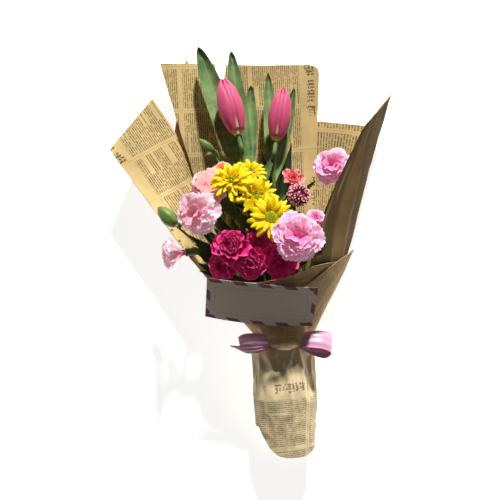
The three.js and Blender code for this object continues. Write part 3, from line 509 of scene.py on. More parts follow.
def card_stock():
    """Uncoated card on a grey-brown ground that is painted shade, with a printed border of slanted mauve
    blocks and a hairline frame inside it.
    """
    material, tree = new_material("uncoated_card")
    u, v, _ = add(tree, SPLIT, [add(tree, UV)], out=None)
    x, y = [add(tree, TIMES, [way, CARD[size]]) for way, size in ((u, "width"), (v, "height"))]
    margin = add(tree, LEAST, [x, y])
    for way, size in ((x, "width"), (y, "height")):
        margin = add(tree, LEAST, [margin, add(tree, MINUS, [CARD[size], way])])
    slant = add(tree, PART, [add(tree, OVER, [add(tree, PLUS, [x, y]), 26])])
    blocks = add(tree, TIMES, [add(tree, BELOW, [slant, 0.5]), add(tree, BELOW, [margin, 4.4])])
    hair = add(tree, TIMES, [add(tree, BELOW, [from_middle(tree, margin, 9), 0.3]), 0.35])
    tooth = add(tree, NOISE, {"Vector": add(tree, PLACE, out=OBJECT), "Scale": 900, "Detail": 3})
    # The grey-brown ground is darker than the card's own off-white: painted shade.
    return surface(material, "#bfb1a2",
                   [(tooth, 0, 1, 1, "#d1c5b8"), (add(tree, MOST, [blocks, hair]), 0, 1, 1, "#84586a")],
                   [(tooth, 0.1, 0.0002)], {"Roughness": 0.7, "Specular IOR Level": 0.3})


def satin():
    """Polyester satin: long floats along the ribbon give a soft stretched gloss."""
    material, tree = new_material("polyester_satin")
    threads = drawn_out(tree, 60, 6, 2)
    return surface(material, "#cc8cb4", [(threads, 0, 1, 1, "#e8b2d2")], [(threads, 0.12, 0.0002)], {
        "Roughness": 0.36, "Sheen Weight": 0.35, "Sheen Roughness": 0.4, "Specular IOR Level": 0.6})


def petal(name, deep, base, edge, edge_at=0.93, veins=26, painted_glow=0.05):
    """Petal tissue: soft and veined along its length, darker down in the bloom.

    It is thin enough for light to come through. The faint emission is painted light: it stands for that light
    and lifts the shaded sides of the petals.
    """
    material, tree = new_material(name)
    v = add(tree, SPLIT, [add(tree, UV)], out=1)
    ribs = drawn_out(tree, veins, 2.2)
    depth = add(tree, "ShaderNodeAttribute", attribute_name="shade", out=2)
    blotch = add(tree, NOISE, {"Vector": add(tree, PLACE, out=OBJECT), "Scale": 160, "Detail": 2})
    reach = add(tree, PLUS, [v, add(tree, TIMES, [add(tree, MINUS, [blotch, 0.5]), 0.3])])
    layers = [(reach, 0.2, 0.7, 1, base), (reach, edge_at - 0.06, edge_at + 0.05, 1, edge),
              (ribs, 0.5, 0.75, 0.16, deep), (depth, 0.35, 1, 0.6, deep)]
    return surface(material, deep, layers, [(ribs, 0.25, 0.0006)], {
        "Roughness": 0.6, "Specular IOR Level": 0.22, "Subsurface Weight": 0.2,
        "Subsurface Radius": (0.004, 0.002, 0.0015), "Subsurface Scale": 0.6}, painted_glow)


def tulip_tissue():
    """Tulip tepal: waxy and smooth, pink with a pale base and fine lengthwise veins."""
    material, tree = new_material("tulip_tepal")
    u, v, _ = add(tree, SPLIT, [add(tree, UV)], out=None)
    veins = drawn_out(tree, 34, 1.6)
    # Darker along each tepal's edges: partly the tepal's own deeper colour, partly painted shade where the
    # tepals meet.
    layers = [(veins, 0, 1, 1, "#dd6690"), (from_middle(tree, u, 0.5), 0.36, 0.5, 0.6, "#9c2450"),
              (v, 0.2, 0.06, 1, "#e3d79a")]
    return surface(material, "#bf3568", layers, [(veins, 0.18, 0.0005)], {
        "Roughness": 0.5, "Specular IOR Level": 0.35, "Subsurface Weight": 0.15,
        "Subsurface Radius": (0.004, 0.0015, 0.0015), "Subsurface Scale": 0.6})


def greenery(name, light, dark, vein, veins=18, gloss=0.5):
    """Leaf or stem skin: lengthwise veins, patchy green and a soft waxy gloss."""
    material, tree = new_material(name)
    u = add(tree, SPLIT, [add(tree, UV)])
    ribs = drawn_out(tree, veins, 1.4)
    patches = add(tree, NOISE, {"Vector": add(tree, PLACE, out=OBJECT), "Scale": 55, "Detail": 3})
    layers = [(patches, 0.38, 0.62, 1, light), (ribs, 0.5, 0.7, 0.4, vein),
              (from_middle(tree, u, 0.5), 0.04, 0, 0.5, vein)]
    return surface(material, dark, layers, [(ribs, 0.3, 0.0006)], {"Roughness": gloss, "Coat Weight": 0.06})


def rubber():
    """Natural rubber: translucent tan, matt, with a faint grain."""
    material, tree = new_material("natural_rubber")
    fine = add(tree, NOISE, {"Vector": add(tree, PLACE, out=OBJECT), "Scale": 700, "Detail": 2})
    return surface(material, "#8a6a3c", [(fine, 0, 1, 1, "#a58650")], [(fine, 0.1, 0.0002)],
                   {"Roughness": 0.65})


# Geometry node trees

def node_tree(name, **inputs):
    """An empty tree with inputs named by their kind, and its input sockets by name."""
    tree = bpy.data.node_groups.new(name, "GeometryNodeTree")
    tree.is_modifier = True
    tree.interface.new_socket("Geometry", in_out="OUTPUT", socket_type="NodeSocketGeometry")
    for kind, labels in inputs.items():
        for label in labels:
            tree.interface.new_socket(label, in_out="INPUT", socket_type="NodeSocket" + kind)
    return tree, {s.name: s for s in add(tree, "NodeGroupInput", out=None)}


def close_tree(tree, geometry, material):
    """Ends a tree: real geometry, its material, and out."""
    real = add(tree, "GeometryNodeRealizeInstances", {"Geometry": geometry})
    dressed = add(tree, "GeometryNodeSetMaterial", {"Geometry": real, "Material": material})
    add(tree, "NodeGroupOutput", [dressed])


def stray(tree, seed, size):
    """A random value between -size and size for each copy."""
    value = add(tree, RANDOM, {"Min_001": -1, "Max_001": 1, "Seed": seed}, out=1)
    return add(tree, TIMES, [value, size])


def polar(tree, turn, radius, height):
    x, y = [add(tree, TIMES, [add(tree, wave, [turn]), radius]) for wave in (COSINE, SINE)]
    return add(tree, TRIPLE, [x, y, height])


def set_out(tree, given, spots, rotation, scale, shade):
    """Puts one of the models on each spot, notes how far in the bloom it stands, and ends the tree."""
    points = add(tree, "GeometryNodePoints", {"Count": given["Count"], "Position": spots})
    models = add(tree, "GeometryNodeCollectionInfo", {
        "Collection": given["Models"], "Separate Children": True, "Reset Children": True})
    pick = add(tree, RANDOM, {"Min_002": 0, "Max_002": 60, "Seed": given["Seed"]}, out=2, data_type="INT")
    placed = add(tree, "GeometryNodeInstanceOnPoints", {
        "Points": points, "Instance": models, "Pick Instance": True, "Instance Index": pick,
        "Rotation": rotation, "Scale": scale})
    marked = add(tree, "GeometryNodeStoreNamedAttribute", {
        "Geometry": placed, "Name": "shade", "Value": shade}, data_type="FLOAT", domain="INSTANCE")
    close_tree(tree, marked, given["Material"])


def whorl_tree():
    """Petals on a spiral, from the outermost to the innermost."""
    sizes = ("Radius", "Height", "Tilt", "Size")
    tree, given = node_tree(
        "petal_whorl", Collection=["Models"], Int=["Count", "Seed"], Material=["Material"],
        Float=["Turn", "Curve", "Jitter", *[f"{end} {key}" for key in sizes for end in ("Outer", "Inner")]])
    index = add(tree, "GeometryNodeInputIndex")
    part = add(tree, OVER, [index, add(tree, MINUS, [given["Count"], 1])])
    inward = add(tree, POWER, [part, given["Curve"]])
    radius, height, tilt, size = [
        add(tree, "ShaderNodeMix", {"Factor_Float": inward, "A_Float": given["Outer " + key],
                                    "B_Float": given["Inner " + key]})
        for key in sizes
    ]
    turn_stray, tilt_stray, size_stray = [
        stray(tree, add(tree, PLUS, [given["Seed"], k]), given["Jitter"]) for k in (11, 23, 37)]
    turn = add(tree, PLUS, [add(tree, TIMES, [index, given["Turn"]]), turn_stray])
    rotation = add(tree, TRIPLE, [0, add(tree, PLUS, [tilt, tilt_stray]), turn])
    scale = add(tree, TIMES, [add(tree, PLUS, [1, add(tree, TIMES, [size_stray, 0.6])]), size])
    set_out(tree, given, polar(tree, turn, radius, height), rotation, scale, inward)
    return tree


def dome_tree():
    """Small florets evenly over the cap of an ellipsoid, standing out of it."""
    tree, given = node_tree(
        "floret_dome", Collection=["Models"], Int=["Count", "Seed"], Material=["Material"],
        Float=["Radius", "Height", "Reach", "Size", "Jitter"])
    index = add(tree, "GeometryNodeInputIndex")
    part = add(tree, OVER, [add(tree, PLUS, [index, 0.5]), given["Count"]])
    cap = add(tree, MINUS, [1, add(tree, COSINE, [given["Reach"]])])
    lean = add(tree, ARCCOSINE, [add(tree, MINUS, [1, add(tree, TIMES, [part, cap])])])
    turn = add(tree, TIMES, [index, radians(GOLDEN)])
    out = add(tree, TIMES, [add(tree, SINE, [lean]), given["Radius"]])
    up = add(tree, TIMES, [add(tree, COSINE, [lean]), given["Height"]])
    askew = stray(tree, given["Seed"], given["Jitter"])
    rotation = add(tree, TRIPLE, [askew, add(tree, PLUS, [lean, askew]), turn])
    set_out(tree, given, polar(tree, turn, out, up), rotation, given["Size"], part)
    return tree


def stem_tree():
    """Round stems along the edges of a mesh, as thick as each point's girth says."""
    tree, given = node_tree("stems", Geometry=["Geometry"], Int=["Sides"], Material=["Material"])
    curves = add(tree, "GeometryNodeMeshToCurve", [given["Geometry"]])
    circle = add(tree, "GeometryNodeCurvePrimitiveCircle", {"Resolution": given["Sides"], "Radius": 1.0})
    girth = add(tree, "GeometryNodeInputNamedAttribute", {"Name": "girth"}, data_type="FLOAT")
    swept = add(tree, "GeometryNodeCurveToMesh", {
        "Curve": curves, "Profile Curve": circle, "Scale": girth, "Fill Caps": True})
    close_tree(tree, swept, given["Material"])
    return tree


def grow(piece, tree, values):
    """Runs a node tree on a piece and keeps the result as its plain mesh."""
    modifier = piece.modifiers.new("build", "NODES")
    modifier.node_group = tree
    for item in tree.interface.items_tree:
        if item.in_out == "INPUT" and item.name in values:
            modifier[item.identifier] = values[item.name]
    evaluated = piece.evaluated_get(bpy.context.evaluated_depsgraph_get())
    mesh = bpy.data.meshes.new_from_object(evaluated)
    piece.modifiers.remove(modifier)
    piece.data = mesh
    mesh.name = piece.name
    mesh.polygons.foreach_set("use_smooth", [True] * len(mesh.polygons))
    return piece


def collection_of(name, make, count, **shape):
    """Petal or floret models of unit length, one for each seed, for the node trees to place."""
    group = bpy.data.collections.new(name)
    bpy.context.scene.collection.children.link(group)
    for seed in range(count):
        piece = make(seed, **shape).make(f"{name}_{seed}", [], unit=1)
        bpy.context.scene.collection.objects.unlink(piece)
        group.objects.link(piece)
    return group


def drop_collection(group):
    for piece in list(group.objects):
        bpy.data.objects.remove(piece)
    bpy.data.collections.remove(group)


# Petal models of unit length: +Z runs from claw to tip, +X faces out of the bloom

def blade(across, along, thickness, point):
    shape = Shape()
    add_blade(shape, grid_of(across, along, point), thickness)
    return shape


def fan_petal(seed, spread=46, flare=0.2, hollow=0.08):
    """A carnation petal: a broad fan, folded in deep waves, with a finely toothed rim."""
    waves, phase = 0.9 + 0.8 * draw(seed, 1), 6.28 * draw(seed, 2)

    def point(u, t):
        t = 0.05 + 0.95 * t
        tooth = 0.04 if round(10 * u) % 2 else -0.02
        rim = 1 - 0.12 * u * u + tooth + 0.06 * sin(2.4 * u + phase)
        rho = t * lerp(1, rim, t ** 3)
        angle = u * radians(16 + spread * smooth(t, 0, 0.65))
        ripple = 0.17 * t ** 1.6 * sin(pi * waves * u + phase)
        ripple += 0.055 * t ** 4 * sin(pi * 3.1 * waves * u + 2 * phase)
        curl = flare * t ** 3 - hollow * sin(pi * t)
        return ripple + curl, rho * sin(angle), rho * cos(angle * 0.75)

    return blade(20, 8, 0.016, point)


def shell_petal(seed):
    """A rose petal: a broad cupped shell whose rim rolls outwards."""
    skew = 0.16 * (draw(seed, 1) - 0.5)

    def point(u, t):
        rim = 1 - 0.16 * abs(u) ** 2.5 + 0.06 * cos(3.1 * u + 5 * draw(seed, 2)) * (1 - u * u)
        round_by = u * (0.16 + 0.84 * sin(pi * (0.08 + 0.55 * t)) ** 0.8) * 1.15
        radius = 0.46 + 0.1 * t
        belly = 0.26 * sin(pi * min(t * 0.85, 1))
        lip = 0.2 * smooth(t, 0.68, 1.05) * (1 + 0.7 * sin(5 * u + 20 * skew))
        x = belly + lip - radius * (1 - cos(round_by)) + 0.045 * sin(9 * u + 2 * seed) * t ** 3
        z = t * rim - 0.35 * lip * lip - 0.06 * smooth(t, 0.8, 1)
        return x, radius * sin(round_by) + skew * t * t, z

    return blade(10, 9, 0.03, point)


def ray_petal(seed):
    """A chrysanthemum's ray: a long spoon with two grooves and a notched tip."""
    bow = 0.02 + 0.16 * draw(seed, 1)
    twist = 2.4 * (draw(seed, 2) - 0.5)

    def point(u, t):
        rim = 1 - 0.09 * u * u - (0.025 if 0.3 < abs(u) < 0.4 else 0)
        half = 0.045 + 0.118 * sin(pi * min(0.1 + 0.6 * t, 1)) ** 0.9
        half *= 1 - 0.55 * smooth(t, 0.68, 1.04)
        groove = 0.012 * cos(pi * 2 * u) * smooth(t, 0.1, 0.4)
        keel = 0.05 * u * u * (1 - 0.4 * t)
        x = bow * sin(pi * t) - 0.14 * bow - keel - groove + twist * 0.05 * u * t
        return -x, u * half, t * rim

    return blade(6, 9, 0.022, point)


def spike_floret(seed):
    """A small pointed floret."""
    shape = Shape()
    lean = Matrix.Rotation(0.25 * (draw(seed, 1) - 0.5), 4, "X")
    add_turned(shape, lean, [[0, 0], [0.42, 0.02], [0.5, 0.5], [0.34, 0.85], [0, 1]], 5)
    return shape


def bract_floret(seed):
    """A narrow curled bract with a pale tip."""
    def point(u, t):
        half = 0.07 + 0.11 * sin(pi * (0.15 + 0.7 * t))
        curl = 0.3 * t * t + 0.1 * sin(5 * t + seed)
        return curl - 0.12 * u * u, u * half, t * (1 - 0.12 * u * u)

    return blade(4, 5, 0.07, point)


# The blooms, placed as in the solid model

def bloom_at(at, facing, radius, depth, seed, **more):
    return {"at": at, "facing": facing, "radius": radius, "depth": depth, "seed": seed, **more}


CARNATIONS = {
    "big": bloom_at((26, 13, 111), (0.1, 0.1, 0.99), 27.5, 11, 1),
    "small": bloom_at((46, 33, 92), (0.1, 0.3, 0.95), 11, 6, 41),
    "far": bloom_at((66.7, 90.9, 58), (-0.35, 0.25, 0.9), 21.5, 9, 81),
    "salmon": bloom_at((-67, 67, 81), (-0.3, 0.35, 0.88), 22, 9, 121),
    "peach": bloom_at((-52, 86, 68), (-0.1, 0.6, 0.8), 11, 5, 161),
    "left": bloom_at((-77.9, 38.3, 94), (-0.4, -0.05, 0.9), 23.5, 10, 201),
    "open": bloom_at((-105.9, -4.2, 84), (-0.95, -0.1, 0.3), 14, 16, 241),
}
MUM = {"neck": 2.4, "ring": 5.2, "ring_top": -2.4, "ring_thick": 2.2, "disc": 5.5, "face": -2.05}
MUMS = [
    bloom_at((-42, 73, 90), (-0.2, 0.55, 0.81), 24, 6.5, 301),
    bloom_at((-22, 85.5, 71), (0.1, 0.8, 0.6), 20, 6.5, 341),
    bloom_at((-15.8, 57.3, 90), (0.1, 0.45, 0.88), 25, 6.5, 381),
    bloom_at((-0.4, 34, 99), (0.1, 0.2, 0.96), 26, 6.5, 421),
]
ROSES = [
    bloom_at((-45.1, 6.2, 100), (-0.25, 0.3, 0.92), 16.5, 17, 501, droop=12),
    bloom_at((-53.9, -17.2, 88), (-0.45, -0.2, 0.87), 15, 15, 541),
    bloom_at((-22, -14.4, 98), (-0.05, -0.2, 0.97), 15.5, 16, 581, droop=12),
    bloom_at((11, -14.5, 90), (0.25, -0.2, 0.94), 17, 16, 621),
    bloom_at((-12.6, 9.5, 86), (0.05, 0.2, 0.98), 13.5, 14, 661),
]
CORAL = bloom_at((24, 78, 68), (0.1, 0.35, 0.93), 10.5, 13, 701)
FILLER = bloom_at((29, 58, 78), (0.15, 0.2, 0.96), 11.5, 11.5, 741)
TULIPS = {
    "left": {"at": (-35.1, 125.3, 52), "facing": (-17.6, 64.6, -6), "radius": 13, "length": 66},
    "right": {"at": (6.3, 118.5, 54), "facing": (8.8, 59.6, -4), "radius": 11.5, "length": 60},
}
# Each bloom that is partly hidden, and the blooms in front of it
for hidden, *front in (
    (MUMS[1], MUMS[0], MUMS[2]), (MUMS[2], MUMS[3], MUMS[0]), (MUMS[3], CARNATIONS["big"]),
    (CARNATIONS["small"], CARNATIONS["big"]), (CARNATIONS["salmon"], MUMS[0], CARNATIONS["left"]),
    (CARNATIONS["peach"], MUMS[0], CARNATIONS["salmon"]), (ROSES[1], ROSES[0]), (ROSES[2], ROSES[0]),
    (ROSES[3], ROSES[2]), (ROSES[4], MUMS[3], CARNATIONS["big"]),
):
    hidden["behind"] = front


def place_bloom(piece, bloom):
    """Moves a bloom's mesh from its own frame to its place, behind the blooms in front of it."""
    mesh = piece.data
    points = np.zeros(len(mesh.vertices) * 3)
    mesh.vertices.foreach_get("co", points)
    matrix = np.array(bloom_frame(bloom))
    points = points.reshape(-1, 3) / METRE @ matrix[:3, :3].T + matrix[:3, 3]
    points = bend_behind(points, bloom.get("behind", []))
    mesh.vertices.foreach_set("co", (points * METRE).ravel())
    mesh.update()


def set_round(name, bloom, tree, values):
    """What a node tree sets round one bloom's middle, moved to the bloom's place."""
    piece = in_scene(name, bpy.data.meshes.new(name))
    grow(piece, tree, {"Seed": bloom["seed"], **values})
    place_bloom(piece, bloom)
    return piece


def whorl(name, bloom, petals, material, count, turn=GOLDEN, curve=1.0, radii=(0.2, 0.03),
          heights=(-0.3, -0.1), tilts=(80, 10), sizes=(0.86, 0.6), jitter=0.1):
    """One bloom's petals, its sizes given as parts of its radius."""
    values = {"Models": petals, "Count": count, "Turn": radians(turn), "Curve": curve, "Jitter": jitter,
              "Material": material}
    for k, end in enumerate(("Outer", "Inner")):
        values[end + " Tilt"] = radians(tilts[k])
        for key, pair in (("Radius", radii), ("Height", heights), ("Size", sizes)):
            values[f"{end} {key}"] = pair[k] * bloom["radius"] * METRE
    return set_round(name, bloom, WHORL, values)


def finish_bloom(name, node, slot, bloom, petals, heart, material):
    """Joins a bloom's petals to a solid heart of the same tissue, turned from its profile."""
    shape = Shape()
    add_turned(shape, bloom_frame(bloom), heart, 16)
    finish_piece(join(name, [petals, shape.make(name + "_heart", [material])]), [node], slot)


def carnation_blooms(pink, salmon, peach, blush):
    """Full heads of rippled petals, and one half-open head hanging over the left rim."""
    fans = collection_of("carnation_petal", fan_petal, 8)
    looks = {
        "big": (pink, "pink", 34, 0.74, 0.57), "small": (pink, "pink", 15, 0.8, 0.6),
        "far": (pink, "pink", 25, 0.8, 0.6), "salmon": (salmon, "salmon", 26, 0.8, 0.6),
        "peach": (peach, "peach", 14, 0.8, 0.6), "left": (blush, "pink", 28, 0.8, 0.6),
    }
    for key, (material, tone, count, *sizes) in looks.items():
        bloom = CARNATIONS[key]
        R = bloom["radius"]
        petals = whorl(f"carnation_{key}_whorl", bloom, fans, material, count, curve=0.85, tilts=(70, 14),
                       sizes=sizes, jitter=0.16)
        heart = [[0, -bloom["depth"]], [2.6, -bloom["depth"]], [0.3 * R, -0.25 * R], [0.22 * R, 0],
                 [0, 0.1 * R]]
        finish_bloom(f"carnation_{key}_bloom", f"carnation_{key}_petals", "carnation_" + tone, bloom, petals,
                     heart, material)
    drop_collection(fans)

    bloom = CARNATIONS["open"]
    H = bloom["depth"]
    narrow = collection_of("carnation_narrow_petal", fan_petal, 5, spread=30, flare=0.1, hollow=-0.1)
    petals = whorl("carnation_open_whorl", bloom, narrow, blush, 15, curve=0.9, radii=(0.2, 0.05),
                   heights=(-0.95, -0.85), tilts=(30, 6), sizes=(1.6, 1.25), jitter=0.08)
    drop_collection(narrow)
    heart = [[0, -H], [2.8, -H], [3.8, -0.7 * H], [0.26 * bloom["radius"], -0.4 * H], [0, -0.3 * H]]
    finish_bloom("carnation_open_bloom", "carnation_open_petals", "carnation_pink", bloom, petals,
                 heart, blush)


def mum_ring(name, bloom, yellow):
    """The ring round the neck behind the disc, which the rays stand on."""
    sides = 20
    top, foot = MUM["ring_top"], MUM["ring_top"] - MUM["ring_thick"]
    outer, inner = MUM["ring"], MUM["neck"] + GAP
    matrix = bloom_frame(bloom)
    points, faces = [], []
    for k in range(sides):
        angle = 2 * pi * k / sides
        here, near = 4 * k, 4 * ((k + 1) % sides)
        for n, (r, h) in enumerate([(inner, foot), (outer, foot), (outer, top), (inner, top)]):
            points.append(matrix @ Vector((r * cos(angle), r * sin(angle), h)))
            faces.append((here + n, near + n, near + (n + 1) % 4, here + (n + 1) % 4))
    ring = Shape()
    ring.add(points, faces, [(0.5, 0.5)] * len(points))
    return ring.make(name, [yellow])


def mum_blooms(yellow):
    """Daisy chrysanthemums: thirty rays in a spiral round a neck behind the disc.

    Three of them have short rays over the disc too.
    """
    rays = collection_of("mum_ray", ray_petal, 7)
    for number, bloom in enumerate(MUMS, 1):
        R = bloom["radius"]
        root = 3.6 / R
        flat = number == 4
        pieces = [whorl(f"mum_{number}_whorl", bloom, rays, yellow, 30, turn=137.14, curve=1.3,
                        radii=(root, root), heights=(-3.9 / R, -3.0 / R), tilts=(88, 60 if flat else 34),
                        sizes=(1.03 - root, 0.76 - root), jitter=0.12)]
        if not flat:
            pieces.append(whorl(f"mum_{number}_short", bloom, rays, yellow, 12, turn=137.14,
                                radii=(4.6 / R, 1.6 / R), heights=(-1.4 / R, 0.6 / R), tilts=(56, 16),
                                sizes=(0.46, 0.3), jitter=0.2))
        pieces.append(mum_ring(f"mum_{number}_ring", bloom, yellow))
        finish_piece(join(f"mum_{number}_bloom", pieces), [f"mum_{number}_rays"], "mum_yellow")
    drop_collection(rays)


def rose_blooms(magenta, coral):
    """Cupped petals round a closed heart: five roses of one spray, and the coral one."""
    shells = collection_of("rose_petal", shell_petal, 6)
    looks = [(f"rose_{number}", bloom, magenta, 34, "rose_magenta") for number, bloom in enumerate(ROSES, 1)]
    for name, bloom, material, count, slot in [*looks, ("rose_coral", CORAL, coral, 15, "rose_coral")]:
        R = bloom["radius"]
        petals = whorl(f"{name}_whorl", bloom, shells, material, count, curve=0.75, radii=(0.36, 0.02),
                       heights=(-0.76, -0.6), tilts=(62, 3), sizes=(1.03, 0.74), jitter=0.12)
        heart = [[0, -bloom["depth"]], [3, -bloom["depth"]], [0.5 * R, -0.76 * R], [0.4 * R, -0.55 * R],
                 [0.1 * R, -0.4 * R], [0, -0.38 * R]]
        finish_bloom(f"{name}_bloom", f"{name}_petals", slot, bloom, petals, heart, material)
    drop_collection(shells)


def filler_bloom(burgundy):
    """A rounded head of small burgundy bracts with pale tips."""
    R = FILLER["radius"]
    bracts = collection_of("filler_bract", bract_floret, 4)
    head = set_round("filler_whorl", FILLER, DOME, {
        "Models": bracts, "Count": 210, "Radius": 0.68 * R * METRE, "Height": 0.58 * R * METRE,
        "Reach": radians(120), "Size": 0.44 * R * METRE, "Jitter": 0.7, "Material": burgundy})
    heart = [[0, -R], [1.6, -R], [0.5 * R, -0.5 * R], [0.56 * R, 0.1 * R], [0.3 * R, 0.44 * R], [0, 0.48 * R]]
    finish_bloom("filler_head", "filler_florets", "filler_burgundy", FILLER, head, heart, burgundy)
    drop_collection(bracts)


def tulip_bloom(side, material):
    """Three inner and three outer tepals lean together into an egg-shaped bud."""
    bloom = TULIPS[side]
    R, L = bloom["radius"], bloom["length"]
    shape = Shape()
    matrix = bloom_frame(bloom)
    rounds = [
        (0.9, [[0.1, 0.6, 0.7], [0.42, 0.98, 0.9], [0.76, 0.76, 0.7], [0.97, 0.16, 0.2]]),
        (1.0, [[0, 0.2, 0.6], [0.11, 0.66, 0.86], [0.42, 1, 0.96], [0.76, 0.78, 0.8], [1, 0.14, 0.3]]),
    ]
    across, along = 14, 26
    for ring, (size, stations) in enumerate(rounds):
        rows = catmull(stations, along)
        for n in range(3):
            angle = 2 * pi * (n + 0.5 * ring) / 3 + TULIP_TURN
            grid = []
            for i in range(across + 1):
                s = 2 * i / across - 1
                row = []
                for height, radius, spread in rows:
                    ridge = 0.05 * R * math.exp(-(s / 0.16) ** 2) * sin(pi * min(height, 1))
                    crest = 0.5 - 1.1 * abs(s) ** 3 + ridge
                    turn = angle + s * spread
                    lift = height * L * (1 - 0.03 * s * s)
                    r = size * R * radius + crest
                    row.append(matrix @ Vector((r * cos(turn), r * sin(turn), lift)))
                grid.append(row)
            add_blade(shape, grid, 0.8)
    heart = [[0, 0], [0.3 * R, 0], [0.7 * R, 0.2 * L], [0.64 * R, 0.56 * L], [0.2 * R, 0.86 * L],
             [0, 0.9 * L]]
    add_turned(shape, matrix, heart, 18)
    finish_piece(shape.make(f"tulip_{side}_bloom", [material]), [f"tulip_{side}_tepals"], "tulip_pink")


# Green parts

def add_leaf(shape, root, tip, width, sag=4, fold=0.12, across=8, along=18, teeth=0, blunt=False):
    """A narrow leaf, arched by sag and folded along its midrib, from a pointed claw to its tip."""
    start, end = Vector(root), Vector(tip)
    start -= 3 * (end - start).normalized()
    run = end - start
    side = run.cross(Vector((0, 0, 1))).normalized()

    def point(s, t):
        if blunt:
            half = (0.3 + 0.7 * sin(pi * (t * 0.6 + 0.2))) * (1 - t ** 6) ** 0.6
        else:
            half = (0.3 + 0.7 * sin(pi * (t * 0.78 + 0.1))) * (1 - t ** 3)
        half = (0.5 * width * half + 0.3) * (1 + teeth * (round(t * along) % 2) * abs(s) ** 4)
        open_by = min(4 * t, 1)
        p = start + run * t + side * (s * half * open_by)
        wave = 0.025 * width * sin(9 * t + 2 * s) * s * s
        p.z += sag * sin(pi * t) + fold * width * s * s * open_by + wave
        return p

    add_blade(shape, grid_of(across, along, point), 0.9)


def add_cup(shape, bloom, length, mouth, foot):
    """The cup behind a bloom, ribbed, with five teeth at its mouth."""
    top = -bloom["depth"] - GAP

    def ribs(radius, height, angle, n):
        tooth = 1.4 * abs(cos(2.5 * angle)) if n in (4, 5) else 0
        return radius * (1 + 0.03 * cos(10 * angle)), height + tooth - (1.4 if n in (4, 5) else 0)

    add_turned(shape, bloom_frame(bloom), [
        [0, top - length], [foot, top - length], [mouth * 0.8, top - 0.85 * length],
        [mouth * 0.97, top - 0.55 * length], [mouth * 0.93, top - 0.2 * length], [mouth, top],
        [mouth * 0.86, top], [0, top - 1.4]], 20, ribs)


def add_bud(shape, base, tip, radius):
    """A closed green bud with five seams, from its base to its pointed tip."""
    length = (Vector(tip) - Vector(base)).length
    bloom = {"at": base, "facing": Vector(tip) - Vector(base)}

    def seams(r, h, angle, n):
        return r * (1 - 0.07 * abs(cos(2.5 * angle)) ** 6), h

    add_turned(shape, bloom_frame(bloom), [
        [0, -2], [0.45 * radius, -1.4], [0.8 * radius, 0.1 * length], [radius, 0.32 * length],
        [0.95 * radius, 0.5 * length], [0.74 * radius, 0.72 * length], [0.4 * radius, 0.9 * length],
        [0.1 * radius, 0.985 * length], [0, length]], 24, seams)


def slot_at(row, column):
    """Where a stem stands in the tied bundle, counted from the back upwards."""
    return STEM["x"] + STEM["pitch"] * (column + (row % 2) / 2), STEM["z"] + STEM["rise"] * row


def main_stem(points, place):
    """A route on through the neck to its cut end, its radius at both ends and its number of steps."""
    x, z = place
    lower = [(x, NECK["y"] + 12, z), (x, NECK["y"] - 10, z), (x + 1, STEM["end"], z - 2)]
    return [*points, *lower], STEM["radius"] * 0.85, STEM["radius"], 44


def branch(bloom, distance, through, end, radius=STEM["thin"]):
    """The same for a branch from behind a bloom to the fork of its spray."""
    return ([back_of(bloom, distance - 1.5), back_of(bloom, distance + 8), *through, end], radius,
            radius * 1.25, 18)


def stems(name, paths, material, sides=10):
    """Stems as one mesh, from their middle lines and their radius at both ends."""
    points, edges, girths = [], [], []
    for route, start, end, steps in paths:
        first = len(points)
        curve = catmull(route, steps)
        points += [tuple(p * METRE) for p in curve]
        girths += [lerp(start, end, k / steps) * METRE for k in range(steps + 1)]
        edges += [(first + k, first + k + 1) for k in range(steps)]
    mesh = bpy.data.meshes.new(name)
    mesh.from_pydata(points, edges, [])
    mesh.attributes.new("girth", "FLOAT", "POINT").data.foreach_set("value", girths)
    piece = grow(in_scene(name, mesh), STEMS, {"Sides": sides, "Material": material})
    piece.data.set_sharp_from_angle(angle=radians(60))
    return piece


def finish_greens(name, node, slot, green, shape, paths, sides=10, before=()):
    """Joins the cups, leaves and buds of a spray to its stems."""
    leaves = shape.make(name + "_leaves", [green])
    piece = join(name, [*before, leaves, stems(name + "_stems", paths, green, sides)])
    finish_piece(piece, [node], slot)


def side_buds(shape, paths, fork):
    """The left carnation spray's two closed buds on their stalks, and its leaves."""
    for base, tip, radius, way in (
        ((-62.4, 108.2, 50), (-77.9, 121.6, 48), 4.6, (-50, 60, 42)),
        ((-101.2, 27.5, 78), (-119.7, 45.7, 74), 8.6, (-70, 0, 54)),
    ):
        add_bud(shape, base, tip, radius)
        back = (Vector(base) - Vector(tip)).normalized()
        paths.append(([Vector(base) - back, Vector(base) + 8 * back, way, fork], 1.1, 1.6, 18))
    add_leaf(shape, fork, (-84, 4, 72), 9, 6)
    add_leaf(shape, fork, (-60, 24, 74), 9, 2)
    add_leaf(shape, (-64, 106.5, 50.2), (-70, 103, 54), 3, 1, along=8)
    add_leaf(shape, (-98, 24, 77), (-91, 30, 84), 5, 1, along=8)


def carnation_greens(green):
    """The carnations' cups and branches, in two sprays and a stem of its own for the far one."""
    sprays = {
        "left": ("carnation_spray_left", (-34, -24, 42), (-18, -60, 34), (2, 0),
                 {"salmon": (20, 4.6), "peach": (15, 3.2), "left": (20, 4.6), "open": (18, 4.4)}),
        "right": ("carnation_spray_right", (23, -34, 47), (20, -65, 36), (2, 2),
                  {"big": (20, 5), "small": (14, 3.4)}),
        "far": ("carnation_far_stem", (56, 24, 22), (36, -45, 19), (0, 3), {"far": (16, 4.4)}),
    }
    for side, (node, fork, below, place, cups) in sprays.items():
        shape, paths = Shape(), []
        for key, (length, mouth) in cups.items():
            bloom = CARNATIONS[key]
            add_cup(shape, bloom, length, mouth, STEM["thin"] + 0.4)
            over_rim = [(-58, -6, 64)] if key == "open" else []
            paths.append(branch(bloom, bloom["depth"] + length, over_rim, fork))
        paths.append(main_stem([fork, below], slot_at(*place)))
        if side == "left":
            side_buds(shape, paths, fork)
        finish_greens(f"carnation_greens_{side}", node, "carnation_green", green, shape, paths)


